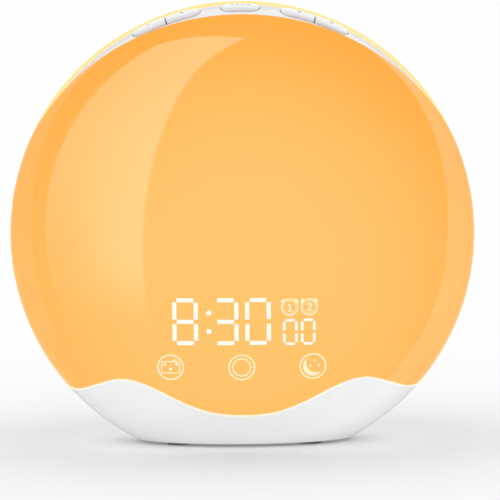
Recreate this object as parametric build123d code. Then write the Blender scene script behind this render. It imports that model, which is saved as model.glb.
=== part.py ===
from build123d import *

import os
from math import asin, atan2, cos, degrees, hypot, radians, sin, sqrt

# Sunrise alarm clock, in millimetres.
#
# Frame: the origin is on the desk under the middle of the body, +Z is up, the display
# faces -Y and +X is to the right of someone who reads it.
#
# The body is a flattened ball: an ellipse turned about a Y axis through the body centre.
# Every wall follows that ball at some inset, so nested walls stay the same gap apart.
# Sketches that run through the body are drawn in X and Z and extruded along Y.

# ---------------------------------------------------------------- overall sizes
WIDTH = 184.5  # across the ball, and its height before the foot is cut flat
DEPTH = 98.0  # front of the ball to its back
FOOT_CUT = 9.5  # height of ball that the flat foot takes away

RADIUS = WIDTH / 2
HALF_DEPTH = DEPTH / 2
HEIGHT = WIDTH - FOOT_CUT
CENTRE_Z = HEIGHT - RADIUS

# ---------------------------------------------------------------- walls and gaps
DIFFUSER_WALL = 2.2
SEAM_GAP = 0.15  # between the two diffusers, and above the wave edge of the base
SKIN_GAP = 0.3  # between a wall and the wall that nests inside it
LIP_WALL = 1.3  # tongue on the rear diffuser that centres the front one
LIP_REACH = 3.0
LIP_ROOT = 5.0
OVER = 20.0  # how far cutting shapes run past the body
PAST = 1.0  # how far a cut or a limit runs past the face it meets

# ---------------------------------------------------------------- base
BASE_WALL = 2.5
RIM_WALL = 1.5  # lip of the base that stands inside the diffusers
RIM_LIFT = 3.0
RIM_ROOT = 4.0
RIM_OUTER = DIFFUSER_WALL + SKIN_GAP  # inset of the lip, inside the diffusers
WAVE_MIDDLE = 12.2  # heights of the wave edge above the desk
WAVE_FLANK = 17.3
WAVE_CREST = 27.0
WAVE_TROUGH = 21.7
WAVE_END = 27.0
FLANK_X = 24.0
CREST_X = 48.0
TROUGH_X = 66.0
WAVE_END_X = 76.0
FOOT_GAP = 1.2  # desk to the underside of the base
FLOOR = 2.5
FOOT_EDGE_ROUND = 1.5
PAD_RADIUS = 4.5
PAD_SEAT = 0.8  # depth of the recess that holds a rubber foot
PAD_X = 26.0
PAD_Y = 9.5
BASE_SCREW_X = 12.0
BASE_SCREW_Y = 8.0
TIP_GAP = 1.0  # a screw tip stops this far before the end of its hole

# ---------------------------------------------------------------- button panel
STRIP_HALF_LENGTH = 84.0  # plan view of the panel: half an ellipse in front of the seam
STRIP_REACH = 15.4
STRIP_RECESS = 1.2
STRIP_WALL = 2.6
STRIP_FLANGE = 3.0
STRIP_GAP = 0.15

# ---------------------------------------------------------------- buttons
BUTTON_Y = -7.6
BUTTON_WIDTH = 8.0
PAIR_ANGLE = 19.1  # lean of the direction in which a side pair is pressed
PAIR_LENGTH = 27.9
MIDDLE_LENGTH = 15.1
PAIR_SPLIT = 0.5
BUTTON_GAP = 0.35
CAP_INSET = 0.5
CAP_ROUND = 0.6  # rounded upper edge of a button
CAP_FLANGE = 0.8
CAP_FLANGE_THICK = 1.0
BUTTON_TRAVEL = 0.8
STEM_RADIUS = 1.6
PLUNGER_RADIUS = 1.5
PLUNGER_GAP = 0.15
PLUNGER_TOP = 7.4  # depths under the body skin, along the press direction
PLUNGER_LENGTH = 2.4
SWITCH_TOP = 8.6
SWITCH_SIDE = 6.0
SWITCH_HEIGHT = 3.2
FLEX_THICK = 0.4
BRACKET_THICK = 2.0
BRACKET_FRONT = -12.8
BRACKET_END = 18.5  # length of a side flat beyond its middle
LUG_RADIUS = 3.2
LUG_LENGTH = 8.0
LUG_SINK = 1.0  # how far a lug sinks into the bracket
LUG_END_WALL = 1.0
FLEX_MARGIN = 1.0  # the flexible board stops short of the bracket's front edge
FLEX_END = 4.0  # and short of the chassis

# ---------------------------------------------------------------- chassis
CHASSIS_FRONT = 2.0
CHASSIS_BACK = 4.0
CHASSIS_CLEAR = 10.25  # edge of the chassis plate to the outside of the ball
CHASSIS_RADIUS = RADIUS - CHASSIS_CLEAR
CHASSIS_FOOT_HALF = 13.0  # half length, along Y, of the two feet on the base floor
CHASSIS_FOOT_WIDTH = 9.0
CHASSIS_FOOT_HEIGHT = 4.5
RIB_HEIGHT = 5.0
RIB_WALL = 2.0
RIB_INSET = 2.0  # rib circle inside the rim of the LED board
GUSSET_WALL = 1.6
POST_BORE = 7.0
WINDOW_RADIUS = CHASSIS_RADIUS - 8.0
WINDOW_WIDTH = 7.0
WINDOW_SWEEP = 26.0
WINDOW_ANGLES = (60, 90, 120, 240, 270, 300)

# ---------------------------------------------------------------- light engine
LED_BOARD_RADIUS = CHASSIS_RADIUS - 14.0
LED_BOARD_BACK = -1.0
BOARD_THICK = 1.6
BOARD_CORNER = 2.0
LED_SIDE = 3.5
LED_HEIGHT = 1.0
LED_RINGS = ((40.0, 12), (60.0, 20))
LED_BOSS_RADIUS = 3.0
LED_BOSS_PLACE = 50.0
LED_BOSS_ANGLES = (45, 135, 225, 315)

# ---------------------------------------------------------------- display
DISPLAY_BOARD_BACK = 23.6 - HALF_DEPTH
DISPLAY_BOARD_WIDTH = 76.0
DISPLAY_BOARD_HEIGHT = 40.0
DISPLAY_BOARD_Z = CENTRE_Z - 36.75
DISPLAY_POST_X = 34.5
DISPLAY_POST_RISE = 16.0
DISPLAY_POST_RADIUS = 2.5
POST_CLEARANCE = 0.7
LIGHT_BOX_WIDTH = 63.0
LIGHT_BOX_TOP = DISPLAY_BOARD_Z + 16.8
LIGHT_BOX_BOTTOM = DISPLAY_BOARD_Z - 6.8
DIGIT_HEIGHT = 19.1
DIGIT_WIDTH = 10.5
DIGIT_STROKE = 1.65
DIGIT_Z = DISPLAY_BOARD_Z + 5.2
DIGIT_PLACES = (-22.7, -6.6, 6.4)
SMALL_HEIGHT = 10.7
SMALL_WIDTH = 6.0
SMALL_STROKE = 1.1
SMALL_Z = DISPLAY_BOARD_Z + 1.0
SMALL_PLACES = (19.3, 26.5)
SEGMENT_GAP = 0.35  # between the two cells of an upright
CELL_CORNER = 0.3
COLON_X = -13.2
COLON_SIDE = 2.0
COLON_RISES = (8.7, 1.2)  # heights of the two dots above the board's middle
ALARM_RADIUS = 3.0
ALARM_Z = DISPLAY_BOARD_Z + 11.0
ALARM_PLACES = (19.0, 26.9)
LENS_GAP = 0.1
DISPLAY_LED_HEIGHT = 0.8
DISPLAY_LED_LENGTH = 1.6
TOUCH_PLACES = (-28.5, 0.0, 28.5)
TOUCH_Z = DISPLAY_BOARD_Z - 13.5
TOUCH_RADIUS = 4.5

# ---------------------------------------------------------------- rear panel
PANEL_RADIUS = 56.0
PANEL_GAP = 0.25
PANEL_WALL = 2.2
LEDGE_WIDTH = 4.0
LEDGE_WALL = 2.0
LEDGE_ROOT = 4.0
PANEL_SCREW_PLACE = 45.0
PANEL_SCREW_ANGLE = 30.0
PANEL_POST_RADIUS = 3.5
PANEL_POST_BORE = 10.0
PANEL_BOSS_WALL = 0.5
PANEL_EDGE_ROUND = 0.4
PANEL_POST_END = HALF_DEPTH - 12.5
PANEL_SCREW_SEAT = HALF_DEPTH - 9.5
ANTENNA_HOLE = 1.6
ANTENNA_X = 40.0
ANTENNA_Z = CENTRE_Z + 1.25

# ---------------------------------------------------------------- speaker
SPEAKER_Z = CENTRE_Z + 23.25
SPEAKER_FLANGE_BACK = HALF_DEPTH - 10.0
SPEAKER_FLANGE = 1.2
SPEAKER_SIDE = 41.0
SPEAKER_SCREW = 16.6
SPEAKER_SCREW_HOLE = 1.6  # depth of its hole in a boss of the rear panel
SPEAKER_CORNER = 3.0
SPEAKER_BOSS_RADIUS = 2.6
SPEAKER_SEAT_RADIUS = 19.5
SPEAKER_SEAT_WALL = 1.8
GASKET = 0.6
BASKET_DEPTH = 10.0
BASKET_WALL = 1.0
MAGNET_RADIUS = 11.0
MAGNET_LENGTH = 8.0
CONE_RADIUS = 17.0
CONE_THICK = 0.6
SURROUND = 1.6
GRILLE_PITCH = 4.2
GRILLE_RINGS = 3
GRILLE_HOLE = 1.1

# ---------------------------------------------------------------- main board and jack
MAIN_BOARD_FRONT = HALF_DEPTH - 25.0
MAIN_BOARD_WIDTH = 64.0
MAIN_BOARD_HEIGHT = 46.0
MAIN_BOARD_Z = CENTRE_Z - 28.75
MAIN_POST_X = 28.0
MAIN_POST_RISE = 19.5
MAIN_POST_RADIUS = 3.0
JACK_X = 18.0
JACK_Z = CENTRE_Z - 33.75
JACK_SIDE = 9.0
JACK_FACE = HALF_DEPTH - 8.5
JACK_BORE = 3.2  # takes a 5.5 mm barrel plug
JACK_PIN = 1.05
JACK_DEPTH = 9.5
JACK_RECESS = 6.5
JACK_RIM = 1.5
JACK_GAP = 0.15
JACK_PIN_SHORT = 0.5
# x, z from the middle of the board, width, height, thickness
CHIPS = ((0, 6, 10, 10, 1.4), (-14, -10, 5, 6, 1.2), (-14, 6, 5, 4, 1.2))
CRYSTAL = (0, -6, 8, 3.2, 2.5)
CAPACITOR = (8, 16, 3.2, 7)  # x, z, radius, length

# ---------------------------------------------------------------- battery
DOOR_X = -17.0
DOOR_TOP = CENTRE_Z - 8.25
DOOR_HEIGHT = 32.5
DOOR_BOTTOM = DOOR_TOP - DOOR_HEIGHT
DOOR_WIDTH = 27.0
DOOR_ROUND = 3.0
DOOR_GAP = 0.25
DOOR_EDGE_ROUND = 0.4
GRIP_RISES = (-3.5, -5.5, -7.5)  # grip bars on the door, from its top edge
GRIP_LENGTH = 13.0
GRIP_WIDTH = 0.9
GRIP_PROUD = 0.45
POCKET_SIDE = 22.4
POCKET_Z = DOOR_TOP - 13.3
POCKET_FLOOR = HALF_DEPTH - 12.0
POCKET_WALL = 2.0
CELL_RADIUS = 10.0
CELL_THICK = 3.2
CONTACT_THICK = 0.3
CONTACT_SIDE = 12.0
BLADE_WIDTH = 6.0
DOOR_SCREW_Z = DOOR_BOTTOM + 3.6
DOOR_BOSS_RADIUS = 3.4
DOOR_BOSS_DEPTH = 1.2  # boss under the seat of the door screw

# ---------------------------------------------------------------- inner wiring
RIBBON_WIDTH = 12.0
RIBBON_THICK = 0.4
RIBBON_MARGIN = 1.5
HEADER_DEPTH = 3.0
HEADER_HEIGHT = 5.0
HEADER_SIDE = 1.0
TAIL_WIDTH = 8.0
TAIL_MARGIN = 1.0
TAIL_Y = CHASSIS_BACK + RIB_HEIGHT + TAIL_MARGIN
TAIL_HEADER_DROP = 1.0  # header of the tail, under the upper edge of the main board
LEAD_X = 16.0
LEAD_WIDTH = 2.4
LEAD_THICK = 0.8
LEAD_DROP = 4.0
LEAD_RISE = 8.0

# ---------------------------------------------------------------- fasteners
SCREW_RADIUS = 1.25
SCREW_HEAD = 2.3
SCREW_HEAD_THICK = 1.5
SMALL_SCREW_RADIUS = 0.9
SMALL_SCREW_HEAD = 1.8
SMALL_HEAD_THICK = 1.2
SCREW_GAP = 0.1


# ================================================================ body surfaces
def skin(inset, start, end):
    """Arc of the body's elliptical section at an inset, between two angles from the equator."""
    middle = radians(start + end) / 2
    fullness = cos(radians(end - start) / 2)
    wide, deep = RADIUS - inset, HALF_DEPTH - inset
    first = (wide * cos(radians(start)), deep * sin(radians(start)))
    shoulder = (wide * cos(middle) / fullness, deep * sin(middle) / fullness)
    last = (wide * cos(radians(end)), deep * sin(radians(end)))
    return Bezier(first, shoulder, last, weights=(1, fullness, 1))


def skin_across(inset, start, end):
    """Arcs of a section that crosses the equator, one on each side of it."""
    if start * end >= 0:
        return [skin(inset, start, end)]
    return [skin(inset, start, 0), skin(inset, 0, end)]


def angle_at_depth(inset, y):
    """Angle at which the skin at an inset crosses a Y plane."""
    return degrees(asin(max(-1.0, min(1.0, y / (HALF_DEPTH - inset)))))


def angle_at_radius(inset, radius):
    """Angle at which the rear skin at an inset is a given distance from the axis."""
    return 90 - degrees(asin(radius / (RADIUS - inset)))


def turned(*arcs):
    """Solid turned about the body's Y axis from arcs joined by straight steps."""
    following = arcs[1:] + arcs[:1]
    gaps = [(arc @ 1, after @ 0) for arc, after in zip(arcs, following)]
    steps = [Line(here, there) for here, there in gaps if (there - here).length > 0.001]
    return Pos(0, 0, CENTRE_Z) * revolve(make_face([*arcs, *steps]), Axis.Y)


def band(outer, inner, y_from=-DEPTH, y_to=DEPTH):
    """Wall between two insets, from one Y plane to another."""
    out = skin_across(outer, angle_at_depth(outer, y_from), angle_at_depth(outer, y_to))
    back = skin_across(inner, angle_at_depth(inner, y_to), angle_at_depth(inner, y_from))
    return turned(*out, *back)


def ball(inset):
    """Everything inside the skin at an inset."""
    return turned(*skin_across(inset, -90, 90))


def skin_radius(inset, y):
    """Distance from the axis to the skin at an inset, in a Y plane."""
    return (RADIUS - inset) * sqrt(1 - (y / (HALF_DEPTH - inset)) ** 2)


# ================================================================ shared helpers
def along_y(sketch, y_from, y_to):
    """Extrude a sketch drawn in X and Z from one Y plane to another."""
    plane = Plane(origin=(0, y_to, 0), x_dir=(1, 0, 0), z_dir=(0, -1, 0))
    return extrude(plane * sketch, y_to - y_from)


def rod(radius, x, z, y_from, y_to):
    """Round bar along Y."""
    return along_y(Pos(x, z) * Circle(radius), y_from, y_to)


def upright(radius, x, y, z_from, z_to):
    """Round bar along Z."""
    return Pos(x, y, z_from) * extrude(Circle(radius), z_to - z_from)


def block(x_span, y_span, z_span):
    """Box between three pairs of limits."""
    lows = [min(span) for span in (x_span, y_span, z_span)]
    sizes = [abs(span[1] - span[0]) for span in (x_span, y_span, z_span)]
    return Pos(*lows) * Box(*sizes, align=(Align.MIN, Align.MIN, Align.MIN))


def group(pieces):
    """Separate solids kept as one node."""
    return Compound([solid for piece in pieces for solid in piece.solids()])


def corners(x, z, rise):
    """Four places about a middle height."""
    return [(side * x, z + level * rise) for side in (-1, 1) for level in (-1, 1)]


def polar(distance, angle):
    """X and Z of a place at a distance from the body centre, angle from straight up."""
    return distance * sin(radians(angle)), CENTRE_Z + distance * cos(radians(angle))


def screw_along_y(x, z, seat, tip, radius=SCREW_RADIUS, head=SCREW_HEAD, thick=SCREW_HEAD_THICK):
    """Screw whose head bears on the seat plane and whose shank runs to the tip."""
    away = 1 if seat > tip else -1
    head_end = seat + away * thick
    shank = rod(radius, x, z, min(seat, tip), max(seat, tip))
    return shank + rod(head, x, z, min(seat, head_end), max(seat, head_end))


def small_screw(x, z, seat, tip):
    """Board screw along Y."""
    return screw_along_y(x, z, seat, tip, SMALL_SCREW_RADIUS, SMALL_SCREW_HEAD, SMALL_HEAD_THICK)


# ================================================================ the wave edge
def wave(lift):
    """Wavy line across the body, raised or lowered by a lift."""
    right = [
        (FLANK_X, WAVE_FLANK),
        (CREST_X, WAVE_CREST),
        (TROUGH_X, WAVE_TROUGH),
        (WAVE_END_X, WAVE_END),
    ]
    left = [(-x, z) for x, z in reversed(right)]
    points = [(x, z + lift) for x, z in [*left, (0, WAVE_MIDDLE), *right]]
    return Spline(points)


def wave_region(lift, far_z):
    """Space between the wave line and a far height, right through the body."""
    line = wave(lift)
    reach = RADIUS + OVER
    start = Vector(-reach, line.position_at(0).Y)
    end = Vector(reach, line.position_at(1).Y)
    ring = Polyline(line @ 1, end, (reach, far_z), (-reach, far_z), start, line @ 0)
    return along_y(make_face([line, *ring.edges()]), -HALF_DEPTH - OVER, HALF_DEPTH + OVER)


def above_wave(lift):
    return wave_region(lift, HEIGHT + OVER)


def below_wave(lift):
    return wave_region(lift, -OVER)


# ================================================================ outer shells
def strip_prism(margin):
    """Upright prism over the button panel, widened by a margin."""
    oval = Ellipse(STRIP_HALF_LENGTH + margin, STRIP_REACH + margin)
    keep_depth = STRIP_REACH + 2 * abs(margin) + 1
    keep = Rectangle(2 * RADIUS, keep_depth, align=(Align.CENTER, Align.MAX))
    plan = oval & Pos(0, margin) * keep
    return Pos(0, 0, CENTRE_Z) * extrude(plan, RADIUS + OVER)


def front_diffuser():
    wall = band(0, DIFFUSER_WALL, y_to=-SEAM_GAP / 2)
    return (wall & above_wave(SEAM_GAP)) - strip_prism(STRIP_GAP)


def rear_diffuser():
    opening = PANEL_RADIUS + PANEL_GAP
    ledge_inner = PANEL_RADIUS - LEDGE_WIDTH
    ledge_outer = opening + LEDGE_ROOT
    shelf = PANEL_WALL + SKIN_GAP
    under = shelf + LEDGE_WALL
    lip = DIFFUSER_WALL + SKIN_GAP
    lip_inner = lip + LIP_WALL
    seam = SEAM_GAP / 2
    wall = turned(
        skin(0, angle_at_depth(0, seam), angle_at_radius(0, opening)),
        skin(shelf, angle_at_radius(shelf, opening), angle_at_radius(shelf, ledge_inner)),
        skin(under, angle_at_radius(under, ledge_inner), angle_at_radius(under, ledge_outer)),
        skin(
            DIFFUSER_WALL,
            angle_at_radius(DIFFUSER_WALL, ledge_outer),
            angle_at_depth(DIFFUSER_WALL, LIP_ROOT),
        ),
        skin(lip_inner, angle_at_depth(lip_inner, LIP_ROOT), angle_at_depth(lip_inner, -LIP_REACH)),
        skin(lip, angle_at_depth(lip, -LIP_REACH), angle_at_depth(lip, seam)),
    )
    inner_cut = ball(DIFFUSER_WALL)
    inner_cut -= above_wave(RIM_LIFT + SEAM_GAP)
    strip_cut = strip_prism(STRIP_FLANGE + SKIN_GAP) & ball(DIFFUSER_WALL)
    return (wall & above_wave(SEAM_GAP)) - inner_cut - strip_cut


def base_shell():
    rim_inner = RIM_OUTER + RIM_WALL
    bowl = band(0, rim_inner) & below_wave(RIM_LIFT)
    bowl -= band(-PAST, RIM_OUTER) & above_wave(0)
    bowl -= ball(BASE_WALL) & below_wave(-RIM_ROOT)
    reach = (-RADIUS - PAST, RADIUS + PAST)
    floor = ball(BASE_WALL / 2) & block(reach, reach, (FOOT_GAP - PAST, FOOT_GAP + FLOOR))
    bowl += floor
    bowl -= block(reach, reach, (-OVER, FOOT_GAP))
    foot_edges = [edge for edge in bowl.edges() if edge.bounding_box().max.Z < FOOT_GAP + 0.01]
    bowl = fillet(foot_edges, FOOT_EDGE_ROUND)
    for x, y in pad_places():
        bowl -= upright(PAD_RADIUS + SCREW_GAP, x, y, 0, FOOT_GAP + PAD_SEAT)
    for x, y in base_screw_places():
        bowl -= upright(SCREW_RADIUS + SCREW_GAP, x, y, 0, FOOT_GAP + FLOOR + PAST)
        bowl -= upright(SCREW_HEAD + SCREW_GAP, x, y, 0, FOOT_GAP + SCREW_HEAD_THICK)
    return bowl


def pad_places():
    return [(x, y) for x in (-PAD_X, PAD_X) for y in (-PAD_Y, PAD_Y)]


def base_screw_places():
    return [(x, y) for x in (-BASE_SCREW_X, BASE_SCREW_X) for y in (-BASE_SCREW_Y, BASE_SCREW_Y)]


def rubber_feet():
    pads = [upright(PAD_RADIUS, x, y, 0, FOOT_GAP + PAD_SEAT) for x, y in pad_places()]
    return group(pads)


def base_screws():
    seat = FOOT_GAP + SCREW_HEAD_THICK
    tip = FOOT_GAP + FLOOR + CHASSIS_FOOT_HEIGHT - TIP_GAP
    return group(
        upright(SCREW_RADIUS, x, y, seat, tip) + upright(SCREW_HEAD, x, y, FOOT_GAP, seat)
        for x, y in base_screw_places()
    )


# ================================================================ button panel and caps
BUTTONS = {
    "left_outer": (-PAIR_ANGLE, -1),
    "left_inner": (-PAIR_ANGLE, 1),
    "middle": (0.0, 0),
    "right_inner": (PAIR_ANGLE, -1),
    "right_outer": (PAIR_ANGLE, 1),
}
PRESS_RADIUS = skin_radius(0, BUTTON_Y)


def press_plane(angle):
    """Plane on the skin under a group of buttons, its normal pointing out of the body."""
    lean = radians(angle)
    normal = Vector(sin(lean), 0, cos(lean))
    origin = Vector(0, BUTTON_Y, CENTRE_Z) + normal * PRESS_RADIUS
    return Plane(origin=origin, x_dir=(cos(lean), 0, -sin(lean)), z_dir=normal)


def group_length(angle):
    return PAIR_LENGTH if angle else MIDDLE_LENGTH


def press_column(angle, sketch, top, bottom):
    """Sketch on the press plane extruded between two depths under the skin."""
    return extrude(press_plane(angle) * Pos(0, 0, -bottom) * sketch, bottom - top)


def group_outline(angle, grow):
    """Rounded outline of a whole group of buttons."""
    return SlotOverall(group_length(angle) + 2 * grow, BUTTON_WIDTH + 2 * grow)


def cap_outline(angle, side, grow):
    """Outline of one button: a half of its group, or the whole middle group."""
    outline = group_outline(angle, grow)
    if side:
        half = Rectangle(PAIR_LENGTH, 2 * BUTTON_WIDTH, align=(Align.MIN, Align.CENTER))
        turn = 0 if side > 0 else 180
        outline = outline & Rot(0, 0, turn) * Pos(PAIR_SPLIT / 2, 0) * half
    return outline


def stem_offset(side):
    return side * (PAIR_LENGTH + PAIR_SPLIT) / 4


def strip_inner():
    return STRIP_RECESS + STRIP_WALL


def button_panel():
    rear_limit = STRIP_FLANGE + PAST
    front_limit = -STRIP_REACH - STRIP_FLANGE - PAST
    outer = band(STRIP_RECESS, strip_inner(), front_limit, rear_limit) & strip_prism(0)
    flange_top = DIFFUSER_WALL + SKIN_GAP
    flange = band(flange_top, strip_inner(), front_limit, rear_limit) & strip_prism(STRIP_FLANGE)
    panel = outer + flange
    for angle in (-PAIR_ANGLE, 0, PAIR_ANGLE):
        panel -= press_column(angle, group_outline(angle, BUTTON_GAP), -OVER, PLUNGER_TOP)
    return panel


def button_cap(angle, side):
    flange_top = strip_inner() + SKIN_GAP
    flange_bottom = flange_top + CAP_FLANGE_THICK
    front_limit = BUTTON_Y - BUTTON_WIDTH
    rear_limit = BUTTON_Y + BUTTON_WIDTH
    body = press_column(angle, cap_outline(angle, side, 0), -OVER, PLUNGER_TOP)
    flange_outline = cap_outline(angle, side, CAP_FLANGE + BUTTON_GAP)
    flange = press_column(angle, flange_outline, -OVER, PLUNGER_TOP)
    cap = body & band(CAP_INSET, flange_bottom, front_limit, rear_limit)
    cap = fillet(upper_edges(cap, angle), CAP_ROUND)
    cap += flange & band(flange_top, flange_bottom, front_limit, rear_limit)
    stem = Pos(stem_offset(side), 0) * Circle(STEM_RADIUS)
    return cap + press_column(angle, stem, flange_top, PLUNGER_TOP)


def upper_edges(cap, angle):
    """Edges of the face that is furthest out along the press direction."""
    outward = press_plane(angle).z_dir
    top = max(cap.faces(), key=lambda face: face.center().dot(outward))
    return top.edges()


def plunger(angle, side):
    post = Pos(stem_offset(side), 0) * Circle(PLUNGER_RADIUS)
    return press_column(angle, post, PLUNGER_TOP, PLUNGER_TOP + PLUNGER_LENGTH)


def tact_switches():
    switches = []
    well_end = PLUNGER_TOP + PLUNGER_LENGTH + BUTTON_TRAVEL + PLUNGER_GAP
    for angle, side in BUTTONS.values():
        place = Pos(stem_offset(side), 0)
        case = press_column(
            angle, place * Rectangle(SWITCH_SIDE, SWITCH_SIDE), SWITCH_TOP, flex_depth()
        )
        well = place * Circle(PLUNGER_RADIUS + PLUNGER_GAP)
        switches.append(case - press_column(angle, well, SWITCH_TOP - PAST, well_end))
    return group(switches)


def flex_depth():
    return SWITCH_TOP + SWITCH_HEIGHT


def arch(depth, thickness, y_from, y_to):
    """Three-sided arch under the buttons, each side square to its press direction."""

    def corner_line(distance):
        joint = distance / cos(radians(PAIR_ANGLE / 2))
        joint_x, joint_z = polar(joint, PAIR_ANGLE / 2)
        end_angle = PAIR_ANGLE + degrees(atan2(BRACKET_END, distance))
        end_x, end_z = polar(hypot(distance, BRACKET_END), end_angle)
        return [(-end_x, end_z), (-joint_x, joint_z), (joint_x, joint_z), (end_x, end_z)]

    outer = corner_line(PRESS_RADIUS - depth)
    inner = corner_line(PRESS_RADIUS - depth - thickness)
    return along_y(make_face(Polyline(*outer, *reversed(inner), close=True)), y_from, y_to)


def lug_places():
    distance = PRESS_RADIUS - flex_depth() - FLEX_THICK - BRACKET_THICK - LUG_RADIUS + LUG_SINK
    return [polar(distance, angle) for angle in (-PAIR_ANGLE, 0, PAIR_ANGLE)]


def button_flex_board():
    front = BRACKET_FRONT + FLEX_MARGIN
    return arch(flex_depth(), FLEX_THICK, front, CHASSIS_FRONT - FLEX_END)


def button_bracket():
    bracket = arch(flex_depth() + FLEX_THICK, BRACKET_THICK, BRACKET_FRONT, CHASSIS_FRONT)
    for x, z in lug_places():
        bracket += rod(LUG_RADIUS, x, z, CHASSIS_FRONT - LUG_LENGTH, CHASSIS_FRONT)
    hole_end = CHASSIS_FRONT - LUG_LENGTH + LUG_END_WALL
    for x, z in lug_places():
        bracket -= rod(SCREW_RADIUS + SCREW_GAP, x, z, hole_end, CHASSIS_FRONT)
    return bracket


def bracket_screws():
    tip = CHASSIS_FRONT - LUG_LENGTH + LUG_END_WALL + TIP_GAP
    return group(screw_along_y(x, z, CHASSIS_BACK, tip) for x, z in lug_places())


# ================================================================ chassis
def display_posts():
    return corners(DISPLAY_POST_X, DISPLAY_BOARD_Z, DISPLAY_POST_RISE)


def main_posts():
    return corners(MAIN_POST_X, MAIN_BOARD_Z, MAIN_POST_RISE)


def led_bosses():
    return [polar(LED_BOSS_PLACE, angle) for angle in LED_BOSS_ANGLES]


def panel_posts():
    return [polar(PANEL_SCREW_PLACE, angle) for angle in panel_post_angles()]


def panel_post_angles():
    lean = 90 - PANEL_SCREW_ANGLE
    return [side * angle for side in (-1, 1) for angle in (lean, 180 - lean)]


def ribbon_slot(margin):
    return Pos(0, DISPLAY_BOARD_Z) * Rectangle(RIBBON_WIDTH + 2 * margin, 4 * margin)


def tail_height():
    """Height of the flexible tail where it leaves the button board."""
    return CENTRE_Z + PRESS_RADIUS - flex_depth() - FLEX_THICK


def rib_radius():
    return LED_BOARD_RADIUS - RIB_INSET


def post_gusset(angle):
    """Rib that ties a rear panel post to the ring rib."""
    length = rib_radius() - RIB_WALL / 2 - PANEL_SCREW_PLACE
    bar = Pos(PANEL_SCREW_PLACE, 0) * Rectangle(length, GUSSET_WALL, align=(Align.MIN, Align.CENTER))
    sketch = Pos(0, CENTRE_Z) * Rot(0, 0, 90 - angle) * bar
    return along_y(sketch, CHASSIS_FRONT, CHASSIS_BACK + RIB_HEIGHT)


def chassis():
    floor_top = FOOT_GAP + FLOOR
    plate = rod(CHASSIS_RADIUS, 0, CENTRE_Z, CHASSIS_FRONT, CHASSIS_BACK)
    reach = (-CHASSIS_RADIUS - PAST, CHASSIS_RADIUS + PAST)
    plate -= block(reach, reach, (-OVER, floor_top))
    for side in (-1, 1):
        x_span = (
            side * BASE_SCREW_X - CHASSIS_FOOT_WIDTH / 2,
            side * BASE_SCREW_X + CHASSIS_FOOT_WIDTH / 2,
        )
        foot_top = floor_top + CHASSIS_FOOT_HEIGHT
        plate += block(x_span, (-CHASSIS_FOOT_HALF, CHASSIS_FOOT_HALF), (floor_top, foot_top))
    for x, z in display_posts():
        plate += rod(DISPLAY_POST_RADIUS, x, z, DISPLAY_BOARD_BACK, CHASSIS_BACK)
    for x, z in led_bosses():
        plate += rod(LED_BOSS_RADIUS, x, z, LED_BOARD_BACK, CHASSIS_BACK)
    for x, z in main_posts():
        plate += rod(MAIN_POST_RADIUS, x, z, CHASSIS_FRONT, MAIN_BOARD_FRONT)
    for x, z in panel_posts():
        plate += rod(PANEL_POST_RADIUS, x, z, CHASSIS_FRONT, PANEL_POST_END)
    ring = Circle(rib_radius()) - Circle(rib_radius() - RIB_WALL)
    plate += along_y(Pos(0, CENTRE_Z) * ring, CHASSIS_FRONT, CHASSIS_BACK + RIB_HEIGHT)
    for angle in panel_post_angles():
        plate += post_gusset(angle)
    for angle in WINDOW_ANGLES:
        window = SlotArc(
            CenterArc((0, 0), WINDOW_RADIUS, 90 - angle - WINDOW_SWEEP / 2, WINDOW_SWEEP),
            WINDOW_WIDTH,
        )
        plate -= along_y(Pos(0, CENTRE_Z) * window, CHASSIS_FRONT - PAST, CHASSIS_BACK + PAST)
    small = SMALL_SCREW_RADIUS + SCREW_GAP
    large = SCREW_RADIUS + SCREW_GAP
    for x, z in display_posts():
        plate -= rod(small, x, z, DISPLAY_BOARD_BACK, DISPLAY_BOARD_BACK + POST_BORE)
    for x, z in led_bosses():
        plate -= rod(small, x, z, LED_BOARD_BACK, CHASSIS_BACK)
    for x, z in main_posts():
        plate -= rod(small, x, z, MAIN_BOARD_FRONT - POST_BORE, MAIN_BOARD_FRONT)
    for x, z in panel_posts():
        plate -= rod(large, x, z, PANEL_POST_END - PANEL_POST_BORE, PANEL_POST_END)
    for x, z in lug_places():
        plate -= rod(large, x, z, CHASSIS_FRONT, CHASSIS_BACK)
    for x, y in base_screw_places():
        plate -= upright(large, x, y, 0, floor_top + CHASSIS_FOOT_HEIGHT)
    plate -= along_y(ribbon_slot(RIBBON_MARGIN), CHASSIS_FRONT, CHASSIS_BACK)
    tail_z = tail_height() + FLEX_THICK / 2
    slot_size = (TAIL_WIDTH + 2 * TAIL_MARGIN, FLEX_THICK + 2 * TAIL_MARGIN)
    plate -= along_y(Pos(0, tail_z) * Rectangle(*slot_size), CHASSIS_FRONT, CHASSIS_BACK)
    return plate


# ================================================================ light engine
def led_board():
    front = LED_BOARD_BACK - BOARD_THICK
    board = Pos(0, CENTRE_Z) * Circle(LED_BOARD_RADIUS)
    for x, z in display_posts():
        board -= Pos(x, z) * Circle(DISPLAY_POST_RADIUS + POST_CLEARANCE)
    for x, z in led_bosses():
        board -= Pos(x, z) * Circle(SMALL_SCREW_RADIUS + SCREW_GAP)
    board -= ribbon_slot(RIBBON_MARGIN)
    return along_y(board, front, LED_BOARD_BACK)


def leds():
    front = LED_BOARD_BACK - BOARD_THICK
    chips = []
    for distance, count in LED_RINGS:
        for index in range(count):
            x, z = polar(distance, 360 * (index + 0.5) / count)
            spot = Pos(x, z) * Rectangle(LED_SIDE, LED_SIDE)
            chips.append(along_y(spot, front - LED_HEIGHT, front))
    return group(chips)


def led_board_screws():
    front = LED_BOARD_BACK - BOARD_THICK
    return group(small_screw(x, z, front, CHASSIS_FRONT) for x, z in led_bosses())


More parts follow.
